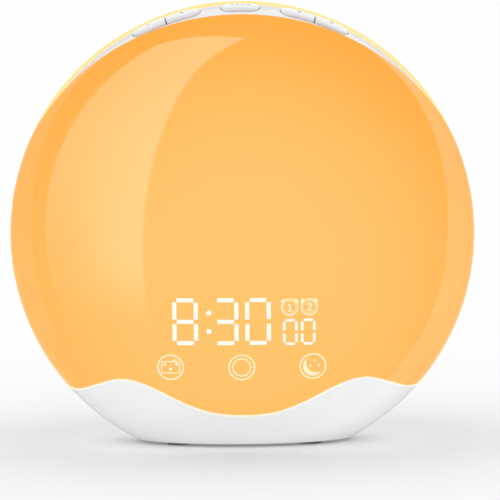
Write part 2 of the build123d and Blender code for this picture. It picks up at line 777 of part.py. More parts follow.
# ================================================================ display
def seven_cells(x, z, width, height, stroke, trim):
    """Seven bars of a digit that meet at their corners, each trimmed all round."""
    reach_x = (width - stroke) / 2
    reach_z = (height - stroke) / 2
    long_x = width - 2 * stroke - 2 * trim
    long_z = reach_z - stroke / 2 - SEGMENT_GAP / 2 - 2 * trim
    thick = stroke - 2 * trim
    rise = (reach_z + SEGMENT_GAP / 2) / 2 - stroke / 4 + SEGMENT_GAP / 8
    across = RectangleRounded(long_x, thick, CELL_CORNER)
    up = RectangleRounded(thick, long_z, CELL_CORNER)
    rows = [Pos(x, z + level * reach_z) * across for level in (-1, 0, 1)]
    sides = [Pos(x + side * reach_x, z + level * rise) * up for side in (-1, 1) for level in (-1, 1)]
    return rows + sides


def light_cells(trim):
    """Outlines of every lit cell of the display."""
    cells = []
    for x in DIGIT_PLACES:
        cells += seven_cells(x, DIGIT_Z, DIGIT_WIDTH, DIGIT_HEIGHT, DIGIT_STROKE, trim)
    for x in SMALL_PLACES:
        cells += seven_cells(x, SMALL_Z, SMALL_WIDTH, SMALL_HEIGHT, SMALL_STROKE, trim)
    dot = COLON_SIDE / 2 - trim
    cells += [Pos(COLON_X, DISPLAY_BOARD_Z + rise) * Circle(dot) for rise in COLON_RISES]
    cells += [Pos(x, ALARM_Z) * Circle(ALARM_RADIUS - trim) for x in ALARM_PLACES]
    return cells


def display_front():
    return DISPLAY_BOARD_BACK - BOARD_THICK


def display_board():
    outline = RectangleRounded(DISPLAY_BOARD_WIDTH, DISPLAY_BOARD_HEIGHT, BOARD_CORNER)
    board = Pos(0, DISPLAY_BOARD_Z) * outline
    for x, z in display_posts():
        board -= Pos(x, z) * Circle(SMALL_SCREW_RADIUS + SCREW_GAP)
    return along_y(board, display_front(), DISPLAY_BOARD_BACK)


def display_screws():
    tip = DISPLAY_BOARD_BACK + POST_BORE - TIP_GAP
    return group(small_screw(x, z, display_front(), tip) for x, z in display_posts())


def light_box():
    height = LIGHT_BOX_TOP - LIGHT_BOX_BOTTOM
    middle = (LIGHT_BOX_TOP + LIGHT_BOX_BOTTOM) / 2
    outline = Pos(0, middle) * RectangleRounded(LIGHT_BOX_WIDTH, height, BOARD_CORNER)
    box = along_y(outline, -HALF_DEPTH, display_front()) & ball(DIFFUSER_WALL + SKIN_GAP)
    cells = [along_y(cell, -HALF_DEPTH, display_front()) for cell in light_cells(0)]
    return box - cells


def segment_lenses():
    back = display_front() - DISPLAY_LED_HEIGHT
    skin_limit = ball(DIFFUSER_WALL + SKIN_GAP + LENS_GAP)
    lenses = [along_y(cell, -HALF_DEPTH, back) & skin_limit for cell in light_cells(LENS_GAP)]
    return group(lenses)


def display_leds():
    front = display_front()
    chips = []
    for cell in light_cells(0):
        spot = cell.center()
        width, height = DISPLAY_LED_LENGTH, DISPLAY_LED_HEIGHT
        if cell.bounding_box().size.Y > cell.bounding_box().size.X:
            width, height = height, width
        place = Pos(spot.X, spot.Y) * Rectangle(width, height)
        chips.append(along_y(place, front - DISPLAY_LED_HEIGHT, front))
    return group(chips)


def touch_pads():
    limit = ball(DIFFUSER_WALL + SKIN_GAP)
    front = display_front()
    return group(rod(TOUCH_RADIUS, x, TOUCH_Z, -HALF_DEPTH, front) & limit for x in TOUCH_PLACES)


# ================================================================ rear panel
def door_outline(margin):
    width, height = DOOR_WIDTH + 2 * margin, DOOR_HEIGHT + 2 * margin
    middle = DOOR_TOP - DOOR_HEIGHT / 2
    return Pos(DOOR_X, middle) * RectangleRounded(width, height, DOOR_ROUND + margin)


def grille_places():
    """Grille holes in rings of six, twelve, eighteen about a middle one."""
    places = [(0.0, SPEAKER_Z)]
    for ring in range(1, GRILLE_RINGS + 1):
        for index in range(6 * ring):
            turn = radians(360 * index / (6 * ring))
            distance = ring * GRILLE_PITCH
            places.append((distance * cos(turn), SPEAKER_Z + distance * sin(turn)))
    return places


def outer_rim(shell):
    """Widest edge on the back of a round shell."""
    round_edges = shell.edges().filter_by(GeomType.CIRCLE)
    return max(round_edges, key=lambda edge: edge.radius + edge.center().Y)


def rear_panel():
    panel = turned(
        skin(0, angle_at_radius(0, PANEL_RADIUS), 90),
        skin(PANEL_WALL, 90, angle_at_radius(PANEL_WALL, PANEL_RADIUS)),
    )
    panel = fillet(outer_rim(panel), PANEL_EDGE_ROUND)
    inside = ball(PANEL_WALL / 2)
    back = HALF_DEPTH + PAST
    added = along_y(door_outline(POCKET_WALL), POCKET_FLOOR - POCKET_WALL, back)
    for x, z in panel_posts():
        added += rod(PANEL_POST_RADIUS + PANEL_BOSS_WALL, x, z, PANEL_POST_END, back)
    seat = Circle(SPEAKER_SEAT_RADIUS) - Circle(SPEAKER_SEAT_RADIUS - SPEAKER_SEAT_WALL)
    added += along_y(Pos(0, SPEAKER_Z) * seat, SPEAKER_FLANGE_BACK + GASKET, back)
    for x, z in corners(SPEAKER_SCREW, SPEAKER_Z, SPEAKER_SCREW):
        added += rod(SPEAKER_BOSS_RADIUS, x, z, SPEAKER_FLANGE_BACK, back)
    added += rod(JACK_RECESS + JACK_RIM, JACK_X, JACK_Z, JACK_FACE - JACK_RIM, back)
    panel += added & inside
    panel -= along_y(door_outline(DOOR_GAP), 0, back) & band(-PAST, PANEL_WALL + SKIN_GAP, 0)
    pocket = Pos(DOOR_X, POCKET_Z) * Rectangle(POCKET_SIDE, POCKET_SIDE)
    panel -= along_y(pocket, POCKET_FLOOR, back)
    boss_recess = door_boss_end() - SCREW_GAP
    panel -= rod(DOOR_BOSS_RADIUS + DOOR_GAP, DOOR_X, DOOR_SCREW_Z, boss_recess, back)
    panel -= rod(SCREW_RADIUS + SCREW_GAP, DOOR_X, DOOR_SCREW_Z, POCKET_FLOOR, back)
    for x, z in panel_posts():
        panel -= rod(SCREW_RADIUS + SCREW_GAP, x, z, 0, back)
        panel -= rod(SCREW_HEAD + 2 * SCREW_GAP, x, z, PANEL_SCREW_SEAT, back)
    hole_end = SPEAKER_FLANGE_BACK + SPEAKER_SCREW_HOLE
    for x, z in corners(SPEAKER_SCREW, SPEAKER_Z, SPEAKER_SCREW):
        panel -= rod(SMALL_SCREW_RADIUS + SCREW_GAP, x, z, 0, hole_end)
    panel -= rod(JACK_RECESS, JACK_X, JACK_Z, JACK_FACE, back)
    jack_width = JACK_SIDE + 2 * JACK_GAP
    panel -= along_y(Pos(JACK_X, JACK_Z) * Rectangle(jack_width, jack_width), 0, back)
    panel -= [rod(GRILLE_HOLE, x, z, SPEAKER_FLANGE_BACK, back) for x, z in grille_places()]
    panel -= rod(ANTENNA_HOLE, ANTENNA_X, ANTENNA_Z, 0, back)
    return panel


def rear_panel_screws():
    tip = PANEL_POST_END - PANEL_POST_BORE + TIP_GAP
    return group(screw_along_y(x, z, PANEL_SCREW_SEAT, tip) for x, z in panel_posts())


# ================================================================ battery
def door_screw_seat():
    reach = hypot(DOOR_X, CENTRE_Z - DOOR_SCREW_Z) + SCREW_HEAD + SCREW_GAP
    surface = HALF_DEPTH * sqrt(1 - (reach / RADIUS) ** 2)
    return surface - SCREW_HEAD_THICK - SCREW_GAP


def door_boss_end():
    return door_screw_seat() - DOOR_BOSS_DEPTH


def outermost_face(cover):
    """Face of a cover that looks out of the back of the body."""
    return max(cover.faces(), key=lambda face: face.center().Y + face.normal_at().Y)


def battery_door():
    back = HALF_DEPTH + PAST
    door = band(0, PANEL_WALL, 0) & along_y(door_outline(0), 0, back)
    door = fillet(outermost_face(door).edges(), DOOR_EDGE_ROUND)
    for rise in GRIP_RISES:
        grip = Pos(DOOR_X, DOOR_TOP + rise) * SlotOverall(GRIP_LENGTH, GRIP_WIDTH)
        door += along_y(grip, 0, back) & band(-GRIP_PROUD, PANEL_WALL / 2, 0)
    boss = rod(DOOR_BOSS_RADIUS, DOOR_X, DOOR_SCREW_Z, door_boss_end(), back)
    door += boss & ball(PANEL_WALL / 2)
    door -= rod(SCREW_RADIUS + SCREW_GAP, DOOR_X, DOOR_SCREW_Z, 0, back)
    head_hole = rod(SCREW_HEAD + SCREW_GAP, DOOR_X, DOOR_SCREW_Z, door_screw_seat(), back)
    return door - head_hole


def battery_door_screw():
    return screw_along_y(DOOR_X, DOOR_SCREW_Z, door_screw_seat(), POCKET_FLOOR + SCREW_GAP)


def coin_cell():
    bottom = POCKET_FLOOR + CONTACT_THICK
    return rod(CELL_RADIUS, DOOR_X, POCKET_Z, bottom, bottom + CELL_THICK)


def battery_contacts():
    plate_end = POCKET_FLOOR + CONTACT_THICK
    plate = Pos(DOOR_X, POCKET_Z) * Rectangle(CONTACT_SIDE, CONTACT_SIDE)
    flat = along_y(plate, POCKET_FLOOR, plate_end)
    side_gap = POCKET_SIDE / 2 - CELL_RADIUS
    blade_z = POCKET_Z + POCKET_SIDE / 2 - side_gap / 2
    blade = Pos(DOOR_X, blade_z) * Rectangle(BLADE_WIDTH, side_gap)
    return group([flat, along_y(blade, POCKET_FLOOR, plate_end + CELL_THICK)])


# ================================================================ speaker
def round_about(x, z, points):
    """Solid turned about a Y axis at X and Z from radius and Y pairs."""
    profile = make_face(Polyline(*points, close=True))
    return Pos(x, 0, z) * revolve(profile, Axis.Y)


def flange_front():
    return SPEAKER_FLANGE_BACK - SPEAKER_FLANGE


def basket_end():
    return flange_front() - BASKET_DEPTH


def speaker_frame():
    flange = Pos(0, SPEAKER_Z) * RectangleRounded(SPEAKER_SIDE, SPEAKER_SIDE, SPEAKER_CORNER)
    flange -= Pos(0, SPEAKER_Z) * Circle(SPEAKER_SEAT_RADIUS - SPEAKER_SEAT_WALL)
    for x, z in corners(SPEAKER_SCREW, SPEAKER_Z, SPEAKER_SCREW):
        flange -= Pos(x, z) * Circle(SMALL_SCREW_RADIUS + SCREW_GAP)
    frame = along_y(flange, flange_front(), SPEAKER_FLANGE_BACK)
    rim = SPEAKER_SEAT_RADIUS
    neck = MAGNET_RADIUS - BASKET_WALL
    basket = round_about(
        0,
        SPEAKER_Z,
        [
            (rim, flange_front() + BASKET_WALL),
            (neck + BASKET_WALL, basket_end()),
            (0, basket_end()),
            (0, basket_end() + BASKET_WALL),
            (neck, basket_end() + BASKET_WALL),
            (rim - 1.2 * BASKET_WALL, flange_front() + BASKET_WALL),
        ],
    )
    return frame + basket


def speaker_magnet():
    return rod(MAGNET_RADIUS, 0, SPEAKER_Z, basket_end() - MAGNET_LENGTH, basket_end())


def speaker_cone():
    top = SPEAKER_FLANGE_BACK - CONE_THICK
    low = basket_end() + BASKET_WALL
    coil = MAGNET_RADIUS / 2
    edge = SPEAKER_SEAT_RADIUS - SPEAKER_SEAT_WALL
    return round_about(
        0,
        SPEAKER_Z,
        [
            (edge, top),
            (edge, top + CONE_THICK),
            (CONE_RADIUS - SURROUND, top + CONE_THICK),
            (coil + CONE_THICK, low + 2 * CONE_THICK),
            (0, low + 2 * CONE_THICK),
            (0, low + CONE_THICK),
            (coil - CONE_THICK, low + CONE_THICK),
            (coil - CONE_THICK, low),
            (coil, low),
            (coil, low + CONE_THICK),
            (CONE_RADIUS - SURROUND, top),
        ],
    )


def speaker_gasket():
    ring = Circle(SPEAKER_SEAT_RADIUS) - Circle(SPEAKER_SEAT_RADIUS - SPEAKER_SEAT_WALL)
    return along_y(Pos(0, SPEAKER_Z) * ring, SPEAKER_FLANGE_BACK, SPEAKER_FLANGE_BACK + GASKET)


def speaker_screws():
    tip = SPEAKER_FLANGE_BACK + SPEAKER_SCREW_HOLE - 2 * SCREW_GAP
    places = corners(SPEAKER_SCREW, SPEAKER_Z, SPEAKER_SCREW)
    return group(small_screw(x, z, flange_front(), tip) for x, z in places)


# ================================================================ main board
def main_board_back():
    return MAIN_BOARD_FRONT + BOARD_THICK


def main_board():
    outline = RectangleRounded(MAIN_BOARD_WIDTH, MAIN_BOARD_HEIGHT, BOARD_CORNER)
    board = Pos(0, MAIN_BOARD_Z) * outline
    for x, z in main_posts():
        board -= Pos(x, z) * Circle(SMALL_SCREW_RADIUS + SCREW_GAP)
    return along_y(board, MAIN_BOARD_FRONT, main_board_back())


def main_board_screws():
    tip = MAIN_BOARD_FRONT - POST_BORE + TIP_GAP
    return group(small_screw(x, z, main_board_back(), tip) for x, z in main_posts())


def board_chips():
    back = main_board_back()
    pieces = []
    for x, rise, width, height, thick in CHIPS:
        outline = Pos(x, MAIN_BOARD_Z + rise) * Rectangle(width, height)
        pieces.append(along_y(outline, back, back + thick))
    x, rise, width, height, thick = CRYSTAL
    can = Pos(x, MAIN_BOARD_Z + rise) * SlotOverall(width, height)
    pieces.append(along_y(can, back, back + thick))
    x, rise, radius, length = CAPACITOR
    pieces.append(rod(radius, x, MAIN_BOARD_Z + rise, back, back + length))
    return group(pieces)


def dc_jack_body():
    outline = Pos(JACK_X, JACK_Z) * Rectangle(JACK_SIDE, JACK_SIDE)
    case = along_y(outline, main_board_back(), JACK_FACE)
    return case - rod(JACK_BORE, JACK_X, JACK_Z, JACK_FACE - JACK_DEPTH, JACK_FACE)


def dc_jack_pin():
    return rod(JACK_PIN, JACK_X, JACK_Z, JACK_FACE - JACK_DEPTH, JACK_FACE - JACK_PIN_SHORT)


# ================================================================ inner wiring
def headers():
    """Plug-in headers on the back of the display board and the front of the main board."""
    x_span = (-RIBBON_WIDTH / 2 - HEADER_SIDE, RIBBON_WIDTH / 2 + HEADER_SIDE)
    z_span = (DISPLAY_BOARD_Z - HEADER_HEIGHT / 2, DISPLAY_BOARD_Z + HEADER_HEIGHT / 2)
    display_header = block(x_span, (DISPLAY_BOARD_BACK, DISPLAY_BOARD_BACK + HEADER_DEPTH), z_span)
    main_header = block(x_span, (MAIN_BOARD_FRONT - HEADER_DEPTH, MAIN_BOARD_FRONT), z_span)
    tail_span = (-TAIL_WIDTH / 2 - HEADER_SIDE, TAIL_WIDTH / 2 + HEADER_SIDE)
    tail_z = (tail_header_z() - HEADER_HEIGHT / 2, tail_header_z() + HEADER_HEIGHT / 2)
    tail_header = block(tail_span, (MAIN_BOARD_FRONT - HEADER_DEPTH, MAIN_BOARD_FRONT), tail_z)
    return group([display_header, main_header, tail_header])


def tail_header_z():
    return MAIN_BOARD_Z + MAIN_BOARD_HEIGHT / 2 - TAIL_HEADER_DROP - HEADER_HEIGHT / 2


def display_ribbon():
    y_span = (DISPLAY_BOARD_BACK + HEADER_DEPTH, MAIN_BOARD_FRONT - HEADER_DEPTH)
    z_span = (DISPLAY_BOARD_Z - RIBBON_THICK / 2, DISPLAY_BOARD_Z + RIBBON_THICK / 2)
    return block((-RIBBON_WIDTH / 2, RIBBON_WIDTH / 2), y_span, z_span)


def button_tail():
    """Flexible tail from the button board through the chassis down to the main board."""
    x_span = (-TAIL_WIDTH / 2, TAIL_WIDTH / 2)
    top = tail_height()
    low = tail_header_z()
    inner = TAIL_Y - FLEX_THICK
    over = block(x_span, (CHASSIS_FRONT - FLEX_END, TAIL_Y), (top, top + FLEX_THICK))
    down = block(x_span, (inner, TAIL_Y), (low, top + FLEX_THICK))
    into = block(x_span, (inner, MAIN_BOARD_FRONT - HEADER_DEPTH), (low, low + FLEX_THICK))
    return over + down + into


def speaker_leads():
    """Twin flat lead from the basket to the main board."""
    x_span = (LEAD_X - LEAD_WIDTH / 2, LEAD_X + LEAD_WIDTH / 2)
    low = MAIN_BOARD_Z + MAIN_BOARD_HEIGHT / 2 - LEAD_DROP
    high = SPEAKER_Z - MAGNET_RADIUS + LEAD_RISE
    y_line = basket_end() - BASKET_WALL
    down = block(x_span, (y_line - LEAD_THICK, y_line), (low, high))
    across = block(x_span, (main_board_back(), y_line), (low, low + LEAD_THICK))
    return down + across


# ================================================================ all the nodes
PARTS = {
    "front_diffuser": front_diffuser,
    "rear_diffuser": rear_diffuser,
    "base_shell": base_shell,
    "rubber_feet": rubber_feet,
    "base_screws": base_screws,
    "button_panel": button_panel,
    "button_bracket": button_bracket,
    "button_flex_board": button_flex_board,
    "button_tail": button_tail,
    "tact_switches": tact_switches,
    "bracket_screws": bracket_screws,
    "chassis": chassis,
    "led_board": led_board,
    "leds": leds,
    "led_board_screws": led_board_screws,
    "display_board": display_board,
    "display_screws": display_screws,
    "light_box": light_box,
    "segment_lenses": segment_lenses,
    "display_leds": display_leds,
    "touch_pads": touch_pads,
    "display_ribbon": display_ribbon,
    "headers": headers,
    "rear_panel": rear_panel,
    "rear_panel_screws": rear_panel_screws,
    "battery_door": battery_door,
    "battery_door_screw": battery_door_screw,
    "battery_contacts": battery_contacts,
    "coin_cell": coin_cell,
    "speaker_frame": speaker_frame,
    "speaker_magnet": speaker_magnet,
    "speaker_cone": speaker_cone,
    "speaker_gasket": speaker_gasket,
    "speaker_screws": speaker_screws,
    "speaker_leads": speaker_leads,
    "main_board": main_board,
    "main_board_screws": main_board_screws,
    "board_chips": board_chips,
    "dc_jack_body": dc_jack_body,
    "dc_jack_pin": dc_jack_pin,
}

os.makedirs("parts", exist_ok=True)
for node, make in PARTS.items():
    export_step(make(), f"parts/{node}.step")
for name, (angle, side) in BUTTONS.items():
    export_step(button_cap(angle, side), f"parts/button_{name}.step")
    export_step(plunger(angle, side), f"parts/plunger_{name}.step")
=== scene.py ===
from functools import partial
from math import atan2, cos, pi, radians, sin, sqrt

import bmesh
import bpy
from mathutils import Matrix, Vector


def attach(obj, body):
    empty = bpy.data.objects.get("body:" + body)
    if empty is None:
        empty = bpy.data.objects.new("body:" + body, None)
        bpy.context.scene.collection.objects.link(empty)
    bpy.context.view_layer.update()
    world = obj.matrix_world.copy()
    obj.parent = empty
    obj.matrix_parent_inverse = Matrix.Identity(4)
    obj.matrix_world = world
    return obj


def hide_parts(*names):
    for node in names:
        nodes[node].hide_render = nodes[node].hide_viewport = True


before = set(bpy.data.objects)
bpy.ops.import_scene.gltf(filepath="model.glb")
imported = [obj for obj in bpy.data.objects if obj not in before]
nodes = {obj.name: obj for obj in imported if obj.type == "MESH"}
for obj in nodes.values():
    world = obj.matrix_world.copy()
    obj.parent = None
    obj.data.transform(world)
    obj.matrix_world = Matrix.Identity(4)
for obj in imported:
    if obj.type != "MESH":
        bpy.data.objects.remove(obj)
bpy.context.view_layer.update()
scene = bpy.context.scene

# ------------------------------------------------------------------ sizes, in metres
MM = 0.001
BALL_RADIUS = 92.25 * MM
BALL_HALF_DEPTH = 49.0 * MM
CENTRE_Z = 82.75 * MM
SKIN = {"Radius": BALL_RADIUS, "Deep": BALL_HALF_DEPTH, "Centre": CENTRE_Z}
DIFFUSER_WALL = 2.2 * MM
SEAM = 0.075 * MM
WALL_EDGE = 0.15 * MM  # rounding of the front shell's wall
RIM_PUSH = 0.06 * MM  # how far the shell's rims go past the CAD edge
SHELL_SPOKES = 720
SHELL_ROWS = 40
TRIM_STEPS = 720
SAME_POINT = 0.001 * MM  # points nearer than this are one
SHARP = radians(30)

SCREW_HEAD = 2.3 * MM
SCREW_HEAD_THICK = 1.5 * MM
SCREW_SHANK = 1.25 * MM
SCREW_BEVEL = 0.3 * MM
GRILLE_MIDDLE = 106.0 * MM
GRILLE_PITCH = 4.2 * MM
GRILLE_HOLE = 1.1 * MM
GRILLE_RIM = 0.24 * MM
GRILLE_RIM_OUT = 0.2 * MM  # from the hole's edge to the middle of its rim

# places of screws, in millimetres
PANEL_SCREWS = ((-38.97, 60.25), (38.97, 60.25), (38.97, 105.25), (-38.97, 105.25))
PANEL_SCREW_HEADS = 41.0
DOOR_SCREW = (-17.0, 43.18, 45.6)
BASE_SCREWS = ((-12, -8), (12, -8), (12, 8), (-12, 8))
BASE_SCREW_HEADS = 1.2

KEY_GROUP_ANGLE = radians(19.1)
# Y limits of the painted shade on the key caps: grey at the front, white at the back
KEY_FRONT = -12.6 * MM
KEY_BACK = -5.5 * MM

CAMERA_DISTANCE = 1.5
CAMERA_HEIGHT_ANGLE = radians(5.0)
CAMERA_ROLL = radians(0.55)
FRAME_WIDTH = 0.1989
SENSOR_WIDTH = 36.0
CAMERA_ASIDE = 2.95 * MM
CAMERA_BELOW = 6.7 * MM
FLOOR_RADIUS = 14.0


# ------------------------------------------------------------------ node helpers
def wire(tree, feed, socket):
    """Feed a socket from another node's output, or set its value."""
    if feed is None:
        return
    if isinstance(feed, bpy.types.NodeSocket):
        tree.links.new(feed, socket)
    else:
        socket.default_value = feed


def add(tree, kind, *feeds, **settings):
    """New node with its settings and its first inputs."""
    node = tree.nodes.new(kind)
    for setting, value in settings.items():
        setattr(node, setting, value)
    for socket, feed in zip(node.inputs, feeds):
        wire(tree, feed, socket)
    return node


def sums(tree, operation, *feeds):
    """Result of one sum on numbers."""
    return add(tree, "ShaderNodeMath", *feeds, operation=operation).outputs[0]


def vectors(tree, operation, *feeds):
    """Result of one sum on vectors."""
    return add(tree, "ShaderNodeVectorMath", *feeds, operation=operation).outputs[0]


def dotted(tree, vector, fixed):
    """How far a vector reaches along a fixed direction."""
    return add(tree, "ShaderNodeVectorMath", vector, fixed, operation="DOT_PRODUCT").outputs[1]


def joined(tree, x=None, y=None, z=None):
    """Vector of three numbers."""
    return add(tree, "ShaderNodeCombineXYZ", x, y, z).outputs[0]


def split(tree, vector):
    """The three numbers of a vector."""
    return add(tree, "ShaderNodeSeparateXYZ", vector).outputs


def eased(tree, value, low, high, to_low=0.0, to_high=1.0):
    """Smooth step of a value between two limits."""
    node = add(tree, "ShaderNodeMapRange", value, low, high, to_low, to_high)
    node.interpolation_type = "SMOOTHSTEP"
    return node.outputs[0]


def blend(tree, share, first, second):
    """Colour between two others."""
    node = add(tree, "ShaderNodeMix", data_type="RGBA")
    wire(tree, share, node.inputs[0])
    wire(tree, first, node.inputs[6])
    wire(tree, second, node.inputs[7])
    return node.outputs[2]


# ------------------------------------------------------------------ finishes
WHITE = (1, 1, 1, 1)
MID_GREY = (0.5, 0.5, 0.5, 1)
PLASTIC_IOR = 1.49


def colour(red, green, blue):
    """Linear colour from the 0 to 255 numbers of a paint chart."""
    shades = [step / 255 for step in (red, green, blue)]
    linear = [s / 12.92 if s <= 0.04045 else ((s + 0.055) / 1.055) ** 2.4 for s in shades]
    return (*linear, 1.0)


def dimmed(tint, share):
    """A colour made darker."""
    return (*[channel * share for channel in tint[:3]], 1.0)


def finish_named(name, **fixed):
    """New material, its tree, its shader with fixed values on some sockets, and the point on the
    piece in the clock's own frame."""
    finish = bpy.data.materials.new(name)
    finish.use_nodes = True
    tree = finish.node_tree
    shader = tree.nodes["Principled BSDF"]
    for socket, value in fixed.items():
        shader.inputs[socket.replace("_", " ")].default_value = value
    return finish, tree, shader, add(tree, "ShaderNodeTexCoord").outputs["Object"]


def grain(tree, where, scale, detail=2.0, roughness=0.55):
    """Fine uneven pattern."""
    node = add(tree, "ShaderNodeTexNoise")
    wire(tree, where, node.inputs["Vector"])
    node.inputs["Scale"].default_value = scale
    node.inputs["Detail"].default_value = detail
    node.inputs["Roughness"].default_value = roughness
    return node.outputs[0]


def bumped(tree, shader, height, distance):
    """Relief of a given depth in metres on a shader's surface."""
    node = add(tree, "ShaderNodeBump")
    node.inputs["Strength"].default_value = 1.0
    node.inputs["Distance"].default_value = distance
    wire(tree, height, node.inputs["Height"])
    tree.links.new(node.outputs[0], shader.inputs["Normal"])


def moulded(name, tint, roughness, texture_scale=2600.0, texture_depth=0.012 * MM, **fixed):
    """Moulded plastic: slight flow marks in the colour and a fine texture from the tool."""
    finish, tree, shader, where = finish_named(name, IOR=PLASTIC_IOR, **fixed)
    flow = grain(tree, where, scale=38.0)
    wire(tree, blend(tree, flow, dimmed(tint, 0.93), tint), shader.inputs["Base Color"])
    texture = grain(tree, where, texture_scale)
    smooth, rough = roughness * 0.85, roughness * 1.15
    wire(tree, eased(tree, texture, 0.3, 0.7, smooth, rough), shader.inputs["Roughness"])
    bumped(tree, shader, texture, texture_depth)
    return finish


GLOW_HEART = Vector((-0.9 * MM, 0, 67.3 * MM))
HEART_SHARE = 0.3  # of the ball's radius that glows evenly
HEART_FALL = 0.78  # of the radius over which the glow deepens
AMBER_HEART = (0.92, 0.485, 0.125, 1)
AMBER_EDGE = (0.86, 0.345, 0.030, 1)
UNLIT_AMBER = ((0.13, 0.065, 0.018, 1), (0.15, 0.075, 0.022, 1))
UNLIT_GREY = ((0.04, 0.04, 0.035, 1), (0.05, 0.05, 0.045, 1))
RIM_DEPTH = (0.6 * MM, 2.2 * MM)
RIM_HEIGHT = (98 * MM, 108 * MM)
RIM_YELLOW = colour(247, 226, 150)


def glowing_plastic(name, lit_rim=False):
    """Milky plastic lit from behind: pale amber in the middle, deeper towards the edge. The thin
    rim behind the keys glows pale yellow."""
    finish, tree, shader, where = finish_named(name, IOR=PLASTIC_IOR, Roughness=0.045)
    maths = partial(sums, tree)
    flat = vectors(tree, "MULTIPLY", vectors(tree, "SUBTRACT", where, GLOW_HEART), (1, 0, 1))
    out = add(tree, "ShaderNodeVectorMath", flat, operation="LENGTH").outputs[1]
    past_heart = maths("SUBTRACT", maths("DIVIDE", out, BALL_RADIUS), HEART_SHARE)
    fall = maths("MAXIMUM", maths("DIVIDE", past_heart, HEART_FALL), 0.0)
    cloud = maths("MULTIPLY_ADD", grain(tree, where, scale=16.0, detail=1.0), 0.10, -0.05)
    depth = maths("MINIMUM", maths("ADD", maths("POWER", fall, 2.0), cloud), 1.0)
    lit = blend(tree, maths("MAXIMUM", depth, 0.0), AMBER_HEART, AMBER_EDGE)
    if lit_rim:
        _, along, up = split(tree, where)
        near_rim = eased(tree, along, *RIM_DEPTH, 1.0, 0.0)
        rim = maths("MULTIPLY", near_rim, eased(tree, up, *RIM_HEIGHT))
        lit = blend(tree, rim, lit, RIM_YELLOW)
    wire(tree, lit, shader.inputs["Emission Color"])
    shader.inputs["Emission Strength"].default_value = 1.0
    wire(tree, blend(tree, grain(tree, where, scale=30.0), *UNLIT_AMBER), shader.inputs["Base Color"])
    bumped(tree, shader, grain(tree, where, scale=45.0, detail=1.0, roughness=0.4), 0.004 * MM)
    return finish


def lit_mark(name, glow):
    """Spot of plastic with a lamp shining behind it."""
    finish, tree, shader, where = finish_named(name, IOR=PLASTIC_IOR, Roughness=0.06)
    uneven = grain(tree, where, scale=420.0)
    wire(tree, blend(tree, uneven, dimmed(glow, 0.95), glow), shader.inputs["Emission Color"])
    shader.inputs["Emission Strength"].default_value = 1.0
    wire(tree, blend(tree, uneven, *UNLIT_GREY), shader.inputs["Base Color"])
    return finish


def brushed_metal(name, tint, roughness):
    """Plated steel with fine turning marks."""
    finish, tree, shader, where = finish_named(name, Metallic=1.0)
    stretched = add(tree, "ShaderNodeMapping", where)
    stretched.inputs["Scale"].default_value = (1.0, 1.0, 14.0)
    marks = grain(tree, stretched.outputs[0], scale=900.0)
    wire(tree, blend(tree, marks, dimmed(tint, 0.8), tint), shader.inputs["Base Color"])
    smooth, rough = roughness * 0.7, roughness * 1.3
    wire(tree, eased(tree, marks, 0.2, 0.8, smooth, rough), shader.inputs["Roughness"])
    bumped(tree, shader, marks, 0.008 * MM)
    return finish


def circuit_board(name, tint):
    """Lacquered board with faint tracks under the lacquer."""
    finish, tree, shader, where = finish_named(name, IOR=1.5)
    tracks = add(tree, "ShaderNodeTexBrick", where)
    tracks.inputs["Scale"].default_value = 220.0
    tracks.inputs["Mortar Size"].default_value = 0.05
    lighter = (*[min(1.0, channel * 1.25 + 0.01) for channel in tint[:3]], 1.0)
    wire(tree, blend(tree, tracks.outputs[1], tint, lighter), shader.inputs["Base Color"])
    lacquer = grain(tree, where, scale=300.0, detail=3.0)
    wire(tree, eased(tree, lacquer, 0.3, 0.7, 0.28, 0.4), shader.inputs["Roughness"])
    bumped(tree, shader, tracks.outputs[1], 0.02 * MM)
    return finish


def woven_ribbon(name, tint):
    """Flat ribbon of separate wires."""
    finish, tree, shader, where = finish_named(name, Roughness=0.45)
    wave = add(tree, "ShaderNodeTexWave", where)
    wave.inputs["Scale"].default_value = 260.0
    wire(tree, blend(tree, wave.outputs[1], dimmed(tint, 0.7), tint), shader.inputs["Base Color"])
    bumped(tree, shader, wave.outputs[1], 0.08 * MM)
    return finish


def key_plastic_painted_shade():
    """Key caps: white at the back, with painted shade that turns them light grey round the front edge."""
    finish, tree, shader, where = finish_named("key_plastic_painted_shade", IOR=PLASTIC_IOR)
    # painted shade: the front of each key is darkened to grey where its front wall lies in shade
    from_front = eased(tree, split(tree, where)[1], KEY_FRONT, KEY_BACK)
    painted_front_shade = blend(tree, from_front, colour(206, 206, 208), colour(250, 250, 251))
    texture = grain(tree, where, scale=3600.0)
    specks = sums(tree, "MULTIPLY", texture, 0.06)
    wire(tree, blend(tree, specks, painted_front_shade, MID_GREY), shader.inputs["Base Color"])
    wire(tree, eased(tree, texture, 0.3, 0.7, 0.28, 0.38), shader.inputs["Roughness"])
    bumped(tree, shader, texture, 0.02 * MM)
    return finish


